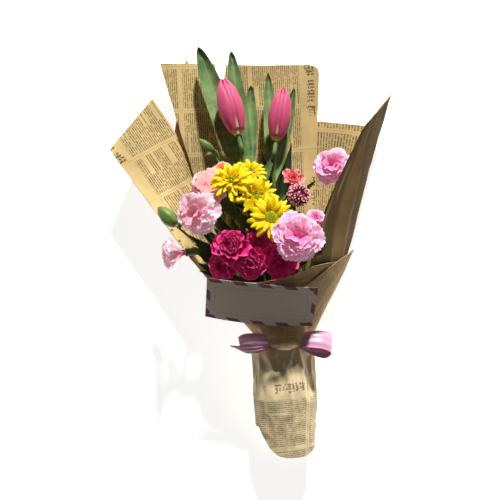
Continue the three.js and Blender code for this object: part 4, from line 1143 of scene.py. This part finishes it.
def mum_greens(green, disc_material):
    """The chrysanthemum spray: florets packed on each disc, bracts, branches and stem."""
    florets = collection_of("disc_floret", spike_floret, 2)
    fork = Vector((-8, -12, 44))
    shape = Shape()
    discs = []
    face = MUM["face"]
    back = MUM["ring_top"] - MUM["ring_thick"] - GAP
    for i, bloom in enumerate(MUMS):
        disc = {**bloom, "at": tuple(back_of(bloom, -face - 0.4)), "behind": []}
        discs.append(set_round(f"disc_{i}", disc, DOME, {
            "Models": florets, "Count": 130, "Radius": 5.7 * METRE, "Height": 2.9 * METRE,
            "Reach": radians(88), "Size": 1.2 * METRE, "Jitter": 0.12, "Material": disc_material}))
        add_turned(shape, bloom_frame(bloom), [
            [0, back - 4], [3.4, back - 1.6], [4.8, back], [MUM["neck"], back], [MUM["neck"], face],
            [MUM["disc"] * 0.94, face], [MUM["disc"] * 0.86, face + 1.6], [0, face + 2.7]])
    ways = [(-34, 34, 62), (-24, 50, 52), (-14, 30, 58), (-3, 16, 58)]
    paths = [branch(bloom, 4 - back, [way], fork) for bloom, way in zip(MUMS, ways)]
    paths.append(main_stem([fork, (4, -52, 32)], slot_at(1, 1)))
    for root, tip, width in (
        ((-30, 34, 60), (-64, 62, 66), 12), ((-24, 50, 54), (-60, 104, 52), 12),
        ((-14, 30, 58), (22, 66, 62), 11), ((-20, 50, 54), (6, 108, 48), 11),
        ((-10, 20, 58), (-50, 44, 74), 11),
    ):
        add_leaf(shape, root, tip, width, 3, teeth=0.16, along=22)
    finish_greens("mum_greens", "mum_spray", "mum_green", green, shape, paths, before=discs)
    drop_collection(florets)


def sepals(shape, bloom):
    """Five pointed sepals spread flat behind a rose."""
    matrix = bloom_frame(bloom)
    depth = bloom["depth"]
    for k in range(5):
        angle = 2 * pi * k / 5 + draw(bloom["seed"], 9)
        root, tip = [matrix @ Vector((reach * cos(angle), reach * sin(angle), height))
                     for reach, height in ((2, -depth - 0.6), (0.7 * bloom["radius"], -depth - 1.5))]
        add_leaf(shape, root, tip, 3.6, 0, along=8)


def rose_greens(green):
    """The rose spray's sepals, toothed leaves and branches, and the coral rose's own stem."""
    fork = (-6, -46, 52)
    shape, coral = Shape(), Shape()
    for bloom in ROSES:
        add_cup(shape, bloom, 5, 3.6, STEM["thin"])
        sepals(shape, bloom)
    for root, tip, width, sag in (
        ((-27, 8, 88), (-31.5, 29, 101), 5, 0), ((-12, -40, 54), (-60, 28, 75), 15, 2),
        ((-10, -36, 54), (-42, 35, 76), 14, 0), ((-12, -43, 55), (-68, -8, 70), 14, 1),
        ((-3, -42, 55), (38, -12, 75), 13, 0), ((-12, -36, 56), (-72, 18, 78), 13, 3),
        ((-2, -38, 56), (20, 20, 74), 12, 1), ((-4, -44, 56), (26, -26, 77), 11, 1),
        ((-12, -34, 56), (-80, 6, 80), 13, 4), ((-12, -30, 56), (-62, 44, 82), 13, 2),
        ((-8, -30, 56), (-24, 40, 86), 11, 1), ((-10, -40, 56), (-76, -22, 74), 12, 2),
        ((-4, -30, 56), (-4, 22, 88), 9, 1), ((0, -40, 56), (44, -2, 76), 12, 2),
        ((-24, -26, 60), (-73, 26, 86), 15, 3), ((-24, -28, 60), (-67, 13, 84), 14, 4),
        ((-22, -24, 60), (-60, 30, 88), 13, 3), ((-26, -34, 58), (-72, -10, 80), 13, 3),
        ((-26, -30, 60), (-85, 15, 82), 17, 3), ((-28, -33, 60), (-83, 2, 78), 16, 3),
        ((-30, -36, 60), (-77, -14, 75), 15, 2), ((-22, -22, 62), (-80, 28, 84), 16, 4),
    ):
        add_leaf(shape, root, tip, width, sag, teeth=0.1, along=20)
    paths = [branch(bloom, bloom["depth"] + 4, [], fork) for bloom in ROSES]
    paths.append(([(-27.3, 8.4, 88.3), (-27, 3, 78), (-24, -6, 64), fork], 0.9, 1.5, 18))
    paths.append(main_stem([fork, (4, -70, 37)], slot_at(2, 1)))
    finish_greens("rose_greens", "rose_spray", "rose_green", green, shape, paths)

    add_cup(coral, CORAL, 5, 3.4, STEM["thin"])
    sepals(coral, CORAL)
    way = [back_of(CORAL, CORAL["depth"] + 3), back_of(CORAL, 28), (20, 15, 34), (21, -45, 27)]
    paths = [main_stem(way, slot_at(1, 2))]
    finish_greens("rose_coral_greens", "rose_coral_stem", "rose_green", green, coral, paths)


def filler_greens(green):
    way = [back_of(FILLER, FILLER["radius"] + GAP), back_of(FILLER, 28), (32, 8, 44), (30, -45, 36)]
    stem = stems("filler_greens", [main_stem(way, slot_at(2, 3))], green)
    finish_piece(stem, ["filler_stem"], "rose_green")


def tulip_greens(green):
    """Each tulip's stem and its long blunt leaves."""
    sprays = {
        "left": ([(-29, 96, 46), (-18, 20, 31), (0, -50, 21)], [
            ((-26, 74, 40), (-79.9, 227.1, 26), 26, -2), ((-24, 72, 39), (-43.3, 224.2, 20), 20, -3),
            ((-25, 70, 38), (-20.9, 185.1, 22), 17, -5)]),
        "right": ([(4, 90, 46), (5, 20, 31), (10, -50, 21)], [
            ((4, 72, 43), (-1.8, 197.7, 26), 15, -3), ((5.5, 74, 43), (27, 179.2, 36), 13, -2)]),
    }
    for number, (side, (ways, leaves)) in enumerate(sprays.items()):
        bloom = TULIPS[side]
        shape = Shape()
        for root, tip, width, sag in leaves:
            add_leaf(shape, root, tip, width, sag, 0.2, across=12, along=30, blunt=True)
        paths = [main_stem([back_of(bloom, GAP), back_of(bloom, 14), *ways], slot_at(0, number))]
        finish_greens(f"tulip_{side}_greens", f"tulip_{side}_stem", "tulip_green", green, shape, paths, 14)


def dark_leaves(green):
    """Narrow dark leaves fanned between the blooms, on one stem."""
    fork = (10, 40, 24)
    shape = Shape()
    for tip, width, sag in (
        ((24, 118, 38), 12, 3), ((50, 76, 44), 11, 3), ((-10, 112, 26), 11, 2), ((-34, 84, 32), 12, 3),
        ((36, 40, 42), 11, 3), ((-40, 50, 42), 12, 3),
    ):
        add_leaf(shape, fork, tip, width, sag, along=22, teeth=0.08)
    paths = [main_stem([fork, (14, -30, 20)], slot_at(0, 2))]
    finish_greens("foliage_leaves", "foliage", "leaf_dark", green, shape, paths)


# Paper

def cone_point(angle, y, layer):
    """A point of the ruled paper cone of one layer, at a column angle in degrees."""
    c, s = cos(radians(angle)), sin(radians(angle))

    def corner(end):
        power = end["power"][0 if s > 0 else 1]
        half = end["half"] + LAYER * layer
        deep = (end["front"] if s > 0 else end["back"]) + LAYER * layer
        x = end["x"] + half * math.copysign(abs(c) ** (2 / power), c)
        z = end["z"] + deep * math.copysign(abs(s) ** (2 / power), s)
        return Vector((x, end["y"], max(z, 0.4 + 1.6 * LAYER * max(1 - layer, 0))))

    rise = max((y - NECK["y"]) / (RING["y"] - NECK["y"]), 0)
    point = corner(NECK).lerp(corner(RING), rise)
    point.y = y
    return point


def crumple(point, size=1.0):
    """The soft creases that all the sheets share, faded out where the paper lies on the surface."""
    p = Vector(point)
    crease = 1 - 2 * abs(noise.noise(p / 34))
    fine = 1 - 2 * abs(noise.noise(p / 13 + Vector((7, 3, 5))))
    push = size * (0.9 * crease + 0.35 * fine - 0.5)
    out = Vector((p.x - lerp(NECK["x"], RING["x"], smooth(p.y, NECK["y"], RING["y"])), 0, p.z - 45))
    out = out.normalized() if out.length > 1 else Vector((0, 0, 1))
    fade = smooth(p.z, 0.3, 6)
    moved = p + out * (push * fade)
    low = [v / METRE + INSIDE for v in CAD_BOX[0]]
    high = [v / METRE - INSIDE for v in CAD_BOX[1]]
    return Vector((min(max(moved.x, low[0]), high[0]), min(max(moved.y, low[1]), high[1]),
                   max(moved.z, 0.5 * THIN)))


def cone_columns(first, rims, layer, step, ends=None, reaches=None):
    """Columns of a wrapped sheet from its lower end to its rim, step degrees apart."""
    columns = []
    centre = Vector((NECK["x"], 0, NECK["z"]))
    for n in range(round((len(rims) - 1) * COLUMN / step) + 1):
        place = n * step / COLUMN
        rim = along_list(rims, place)
        end = along_list(ends, place) if ends else CONE_END
        reach = along_list(reaches, place) if reaches else 0
        column = []
        for y in [lerp(end, rim, k / 24) for k in range(25)]:
            point = cone_point(first + n * step, y, layer)
            if reach:
                out = point - centre
                out.y = 0
                point += out.normalized() * reach * smooth(-y, 75, 96)
            column.append(crumple(point))
        columns.append(column)
    return columns


def flared_columns(angles, tops, bows, layer, splits):
    """Columns that go on past the ring to a free top edge, splits of them to each of the tops."""
    columns = []
    for n in range((len(tops) - 1) * splits + 1):
        place = n / splits
        angle, top, bow = [along_list(values, place) for values in (angles, tops, bows)]
        lower = [cone_point(angle, lerp(CONE_END, RING["y"], k / 16), layer) for k in range(17)]
        ring, top = lower[-1], Vector(top)
        bend = ring.lerp(top, 0.4) + Vector((bow, 0, 0))
        upper = [ring * (1 - t) ** 2 + bend * 2 * t * (1 - t) + top * t * t
                 for t in [k / 22 for k in range(1, 23)]]
        columns.append([crumple(p) for p in lower + upper])
    return columns


def print_uv(columns, direction, origin):
    """UV in metres: along and across the printed lines, whose direction is given in the sheet's plane."""
    dx, dy = Vector(direction).normalized()
    ways = [(p.x - origin[0], p.y - origin[1]) for column in columns for p in column]
    return [((x * dx + y * dy) * METRE, (x * dy - y * dx) * METRE) for x, y in ways]


def wrapped_uv(columns, slant=0.0, upright=False):
    """UV in metres on a wrapped sheet, with the lines round it, slanting, or upright along its columns."""
    uvs = []
    level = len(columns[0]) * 2 // 3
    for travelled, column in zip(travel([column[level] for column in columns]), columns):
        for rise in travel(column):
            along, across = travelled + slant * rise, rise - slant * travelled
            if upright:
                along, across = -rise, travelled
            uvs.append((along * METRE, (across + 100) * METRE))
    return uvs


def finish_paper(name, node, columns, uvs, finishes, closed=False):
    """A sheet of paper with a finish for its inside and one for its outside."""
    shape = Shape()
    add_sheet(shape, columns, THIN, uvs, closed)
    finish_piece(shape.make(name, finishes), [node], "kraft_newsprint")


def outer_paper(printed, plain):
    """The large outer sheet, from its left corner round the back to the rolled flap on the right."""
    tops = [
        [-175.9, 109.9, 45], [-154, 141, 32], [-132.8, 171.9, 17], [-108, 136, 5], [-95.5, 220.6, 3],
        [-60, 150, 1], [-40, 150, 0.4], [-10, 150, 0.4], [15, 150, 0.4], [36, 150, 0.4],
        [55, 148.6, 2], [84, 145, 7], [110.4, 141.5, 12], [124, 160, 18], [136, 174.8, 28],
        [130, 166, 37], [123, 158, 47], [115, 149, 57], [109, 142, 65], [105, 138, 70], [101.2, 133.8, 74],
    ]
    bows = [0] * 17 + [-3, -7, -12, -17]
    angles = [180 + COLUMN * i for i in range(len(tops))]
    splits = 8
    columns = flared_columns(angles, tops, bows, 1, splits)
    left = 4 * splits  # The columns of the left diamond panel, whose print slants from its left edge
    uvs = print_uv(columns[:left], (-0.56, 0.83), (-174.6, 87.1)) + wrapped_uv(columns[left:], upright=True)
    # Its outside, which the rolled flap shows, takes the darker finish that carries painted shade.
    finish_paper("paper_outer", "wrap_outer", columns, uvs, [printed, plain])


def panel_paper(printed, plain):
    """The two tall back panels, one sheet with a V between them."""
    tops = [
        [-124, 211.5, 16], [-95, 212.4, 13], [-62.3, 212.8, 9], [-54.2, 172.8, 8], [-49.6, 211.7, 9],
        [0, 211.5, 8], [46, 212, 8], [51.5, 210.6, 8], [55.4, 207.5, 8], [57, 202, 8],
    ]
    angles = [236, 243, 250, 255, 260, 276, 294, 296, 298, 300]
    columns = flared_columns(angles, tops, [0] * len(tops), 0, 14)
    uvs = print_uv(columns, (0.05, -1), (60, 214))
    finish_paper("paper_panels", "wrap_panels", columns, uvs, [printed, plain])


def front_papers(inside, outside):
    """The front-left wrap with its low rim, and the front-right wrap with its slanting edge and lip."""
    rims = [-12, -12, -13, -16, -22, -29, -33, -34, -34, -33, -32, -31, -32, -35, -44, -58]
    columns = cone_columns(24, rims, 2, 2)
    finish_paper("paper_front_left", "wrap_front_left", columns, wrapped_uv(columns), [inside, outside])

    rims = [-25, -12, -5, 0, 0, -3, -9, -19, -31, -42, -54, -64, -74, -82, -86]
    ends = [CONE_END] * 6 + [-97, -95.5, -94, -103, -107, -107, -103, -94, -95.5]
    reaches = [0] * 8 + [9, 12, 13, 13, 12, 9, 0]
    columns = cone_columns(-36, rims, 3, 2, ends, reaches)
    uvs = wrapped_uv(columns, 0.3)
    finish_paper("paper_front_right", "wrap_front_right", columns, uvs, [inside, outside])


def pulled_folds(x, y, front):
    """Sharp folds that run out from the knot over the front of the sleeve and die away."""
    dx, dy = x - 26, -103 - y
    away = math.hypot(dx, dy)
    fan = math.atan2(dx, max(dy, 0.1))
    ridge = 1 - abs(sin(4.2 * fan + 0.05 * away + 0.4))
    return 3.4 * (ridge - 0.45) * smooth(away, 3, 14) * (1 - smooth(away, 26, 62)) * smooth(front, 0, 0.6)


def sleeve_column(angle, stations, rows):
    """One column of the sleeve from its top to its rim, pushed in and out by its creases."""
    c, s = cos(angle), sin(angle)
    _, middle, _, half, _ = stations[2]
    bend = min(abs((middle + half * c - SLEEVE["middle"]) / SLEEVE["reach"]) ** SLEEVE["roundness"], 1)
    rim = SLEEVE["end"] + SLEEVE["corner"] * bend
    column = []
    for k in range(rows + 1):
        y = lerp(SLEEVE["top"], rim, k / rows)
        i = next((m for m in range(1, 4) if stations[m][0] <= y), 3)
        (upper, *above), (lower, *below) = stations[i - 1], stations[i]
        x, z, half, deep = [lerp(a, b, (y - upper) / (lower - upper)) for a, b in zip(above, below)]
        crush = smooth(-y, 107, 118) * (1 - 0.75 * smooth(-y, 130, 175))
        ridge = 1 - 2 * abs(noise.noise(Vector((2.6 * c, y / 22, 2.6 * s))))
        folds = 1 - 2 * abs(noise.noise(Vector((5 * c + 4, y / 40, 5 * s))))
        push = crush * (1.6 * ridge + 1.3 * folds - 2.2) + 0.5 * (ridge - 0.6) * smooth(-y, 107, 118)
        push += pulled_folds(x + half * c, y, s)
        column.append(Vector((x + half * c, y, z + deep * s)) + Vector((c, 0, s)) * push)
    return column


def sleeve_paper(printed, plain):
    """The sleeve round the stems: crushed under the bow, smoother towards its rounded lower rim."""
    outer = LAYER * SLEEVE["layer"]
    neck = (NECK["x"], NECK["z"], NECK["half"] + outer, NECK["front"] + outer)
    # How far along, then the middle's x and z, half the width and half the depth
    stations = [(SLEEVE["top"], *neck), (-110, *neck), (-165, 17.5, 29, 35.5, 26),
                (SLEEVE["end"], 19.5, 25, 31.5, 18)]
    around, rows, level = 180, 48, 18
    columns = [sleeve_column(2 * pi * n / around, stations, rows)[::-1] for n in reversed(range(around))]
    uvs = []
    for travelled, column in zip(travel([column[level] for column in columns]), columns):
        uvs += [((30 - travelled) * METRE, (-p.y - 137.5 + 0.1 * p.x) * METRE) for p in column]
    finish_paper("paper_sleeve", "wrap_sleeve", columns, uvs, [printed, plain], closed=True)


def card_piece(material):
    """The greeting card, bent a little round the cone."""
    matrix = (Matrix.Translation((CARD["x"], CARD["y"], CARD["z"]))
              @ Matrix.Rotation(radians(CARD["turn"]), 4, "Z")
              @ Matrix.Rotation(radians(CARD["tilt"]), 4, "X"))
    across, along = 30, 14

    def point(s, t):
        drop = lerp(CARD["sag_top"], CARD["sag_end"], t) * s * s
        return matrix @ Vector((0.5 * CARD["width"] * s, (0.5 - t) * CARD["height"], -drop))

    uvs = [(i / across, 1 - j / along) for i in range(across + 1) for j in range(along + 1)]
    shape = Shape()
    add_sheet(shape, grid_of(across, along, point), CARD["thick"], uvs, marks=(0, 0))
    finish_piece(shape.make("greeting_card", [material]), ["card"], "card")


# Ribbon

def add_length(shape, points, width, lean, turned, tail=False, steps=56, across=14):
    """One length of satin: pleated at the knot, and either a loop that shows its inside or a tail."""
    grid, uvs = [], []
    path = catmull(points, steps)
    for i, (middle, travelled) in enumerate(zip(path, travel(path))):
        t = i / steps
        open_by = t if tail else sin(pi * t) ** 1.4
        wide = lerp(3 if tail else RIBBON["knot"], width, open_by)
        if tail:
            wide *= 1 - 0.86 * smooth(t, 0.7, 1)
        roll = radians(turned) * open_by
        row = []
        for k in range(across + 1):
            s = k / across - 0.5
            pleat = 0.9 * (1 - 0.75 * open_by) * cos(5 * pi * (s + 0.5) + 2 * t)
            bow = 0.1 * wide * (1 - 4 * s * s) * (0.4 + 0.6 * open_by)
            out = s * wide
            rise = out * sin(roll) + bow + pleat
            row.append(middle + Vector((lean * out, out * cos(roll), rise)))
            uvs.append((s + 0.5, travelled / RIBBON["flat"]))
        grid.append(row)
    add_sheet(shape, grid, RIBBON["thick"], uvs, marks=(0, 0))


def ribbon_band(shape):
    """The ribbon gathered round the neck, and the knot on it."""
    grid, uvs = [], []
    rows = 120
    for n in range(rows):
        p = cone_point(360 * n / rows, NECK["y"], RIBBON["layer"])
        out = Vector((p.x - NECK["x"], 0, p.z - NECK["z"])).normalized()
        heights = [lerp(RIBBON["bottom"], RIBBON["top"], k / 8) for k in range(9)]
        grid.append([Vector((p.x, y, p.z)) + out * 0.3 * cos(k * pi * 0.75)
                     for k, y in enumerate(heights)])
        uvs += [(k / 8, n / rows * 7) for k in range(9)]
    add_sheet(shape, grid, RIBBON["thick"], uvs, closed=True, marks=(0, 0))

    def gathers(radius, height, angle, n):
        return radius * (1 + 0.06 * cos(6 * angle)), height

    knot = Matrix.Translation((15, 0.5 * (RIBBON["top"] + RIBBON["bottom"]), 60.6))
    profile = [[0, -2.4], [3.4, -2], [5.2, -0.8], [5.6, 0.2], [4.6, 1.5], [2.4, 2.2], [0, 2.4]]
    add_turned(shape, knot, profile, 24, gathers)


def ribbon_piece(material):
    """The satin ribbon: a gathered band round the neck, a knot, two loops and a tail."""
    shape = Shape()
    ribbon_band(shape)
    add_length(shape, [
        (17, -101, 61.2), (26, -99, 62), (34, -97, 61), (46, -96, 62.5), (58, -97, 61.5), (66.5, -102, 57),
        (61, -108.5, 53), (50, -108, 54), (40, -105, 56.5), (32, -102, 57.5)], RIBBON["loop"], 0.1, -30)
    add_length(shape, [
        (13, -101, 61.2), (4, -99, 62), (-4, -97, 61), (-14, -96, 61.5), (-26, -96.5, 60),
        (-33.5, -101, 55.5), (-27, -106, 53), (-13, -105, 55), (-3, -102, 57.5)],
        RIBBON["loop"] - 4, -0.15, 38)
    add_length(shape, [
        (12, -103, 59.9), (0, -104, 60.5), (-11, -106, 64), (-24, -107, 62), (-43, -104.5, 53)],
        13, 0.2, 30, tail=True)
    piece = shape.make("satin_bow", [material])
    finish_piece(piece, ["ribbon_bow"], "satin_ribbon")


# Stage

def floor(half, low):
    """A pale floor under the bouquet, from -half to half each way, in metres."""
    mesh = bpy.data.meshes.new("floor")
    corners = [(-half, -half, low), (half, -half, low), (half, half, low), (-half, half, low)]
    mesh.from_pydata(corners, [], [(0, 1, 2, 3)])
    piece = in_scene("floor", mesh)
    material, tree = new_material("pale_floor")
    speckle = add(tree, NOISE, {"Vector": add(tree, PLACE, out=OBJECT), "Scale": 40})
    mesh.materials.append(surface(material, "#fbfbfb", [(speckle, 0, 1, 1, "#ffffff")], [], {
        "Roughness": 0.9, "Specular IOR Level": 0.1, "Emission Color": (1, 1, 1, 1),
        "Emission Strength": 0.82}))


def backdrop(half, low, height=2.5):
    """White paper walls at the floor's edges, seen behind the bouquet in level views, that light nothing."""
    mesh = bpy.data.meshes.new("backdrop")
    corners = [(-half, -half), (half, -half), (half, half), (-half, half)]
    points = [(x, y, z) for z in (low, height) for x, y in corners]
    mesh.from_pydata(points, [], [(i, (i + 1) % 4, 4 + (i + 1) % 4, 4 + i) for i in range(4)])
    walls = in_scene("backdrop", mesh)
    for ray in ("diffuse", "glossy", "transmission", "shadow"):
        setattr(walls, "visible_" + ray, False)
    material, _ = new_material("white_paper_backdrop")
    mesh.materials.append(surface(material, (0.9, 0.9, 0.9, 1), [], [], {
        "Roughness": 0.9, "Emission Color": (1, 1, 1, 1), "Emission Strength": 0.95}))


def lights():
    """A warm key light from above the blooms and a soft fill."""
    key = bpy.data.lights.new("key", "SUN")
    key.energy = 5.7
    key.angle = radians(4)
    key.color = (1, 0.975, 0.9)
    in_scene("key", key).rotation_euler = Vector(SUN).to_track_quat("Z", "Y").to_euler()
    world = bpy.data.worlds.new("studio")
    world.use_nodes = True
    background = world.node_tree.nodes["Background"]
    background.inputs["Color"].default_value = (1, 0.93, 0.85, 1)
    background.inputs["Strength"].default_value = 0.09
    bpy.context.scene.world = world


def camera():
    """Straight down over the bouquet, with +Y up in the picture, as in the photograph."""
    data = bpy.data.cameras.new("camera")
    data.lens = CAMERA["lens"]
    data.sensor_width = 36
    data.clip_end = 20
    view = in_scene("camera", data)
    view.location = (CAMERA["x"] * METRE, 0, CAMERA["height"] * METRE)
    bpy.context.scene.camera = view


def main():
    camera()
    floor(*ROOM)
    backdrop(*ROOM)
    lights()
    printed = newsprint("newsprint_kraft", "#dfc48c", "#33250f", 0.84, 0)
    faint = newsprint("newsprint_kraft_outside", "#ccae80", "#3f301a", 0.5)
    plain = plain_kraft("kraft_back", "#c3a477")
    # The outer sheet's unprinted outside is a darker brown than the other backs: painted shade on the rolled
    # flap.
    painted_shade_back = plain_kraft("kraft_back_outside", "#6e5838", 0.6)
    outer_paper(printed, painted_shade_back)
    panel_paper(printed, plain)
    front_papers(plain, faint)
    sleeve_paper(newsprint("newsprint_kraft_sleeve", "#ecd9b0", "#4a3a22", 0.7, 26), plain)
    card_piece(card_stock())
    ribbon_piece(satin())

    carnation_blooms(
        # The pink and blush heads give out stronger emission, painted light on their shaded lower petals. The
        # blush's pale tones are partly its own colour and partly painted light.
        petal("carnation_petal_pink", "#e2559a", "#f6a6d3", "#fbdcf2", painted_glow=0.12),
        petal("carnation_petal_salmon", "#e97a82", "#f6b0b4", "#fad2d4"),
        petal("carnation_petal_peach", "#e56a2c", "#f2a27c", "#f9cdb8"),
        petal("carnation_petal_blush", "#e87c9c", "#fcccd8", "#fbe4f5", painted_glow=0.12))
    # The deeper yellow at the rays' roots and on the inner rays is painted shade.
    mum_blooms(petal("mum_ray_yellow", "#dcb402", "#f4d80a", "#fbe82e", veins=8))
    # Rose petals: the dark deep tone in the hollows is painted shade, and the pale rims are painted
    # highlight.
    rose_blooms(petal("rose_petal_magenta", "#900a4a", "#e2287e", "#f0509c", edge_at=0.86),
                petal("rose_petal_coral", "#e8647a", "#fc969e", "#fdb8b4", edge_at=0.9))
    filler_bloom(petal("filler_bract_burgundy", "#5c1232", "#961c4e", "#f4bcbc", edge_at=0.78, veins=4))
    tepal = tulip_tissue()
    for side in TULIPS:
        tulip_bloom(side, tepal)

    carnation_greens(greenery("carnation_calyx_skin", "#70893c", "#48682c", "#94ab60", veins=30))
    mum_greens(greenery("mum_leaf", "#4b6f35", "#2c4a22", "#7d9a55"),
               petal("mum_disc_florets", "#a2b200", "#c2cc0c", "#e2e22c", edge_at=0.9, veins=3))
    rose_greens(greenery("rose_leaf", "#3f5c2c", "#233a1c", "#6d8a4c"))
    filler_greens(greenery("filler_stem_skin", "#6d8a4c", "#4b6f35", "#93ae6e"))
    tulip_greens(greenery("tulip_leaf", "#88a468", "#4a7040", "#aabd8c", veins=34, gloss=0.45))
    dark_leaves(greenery("dark_leaf", "#2f4d26", "#1d3418", "#55733f"))

    band = bpy.data.objects["stem_band"]
    band.data.materials.clear()
    band.data.materials.append(rubber())


WHORL = whorl_tree()
DOME = dome_tree()
STEMS = stem_tree()
main()
bpy.context.scene.view_settings.view_transform = "Standard"
bpy.context.view_layer.update()
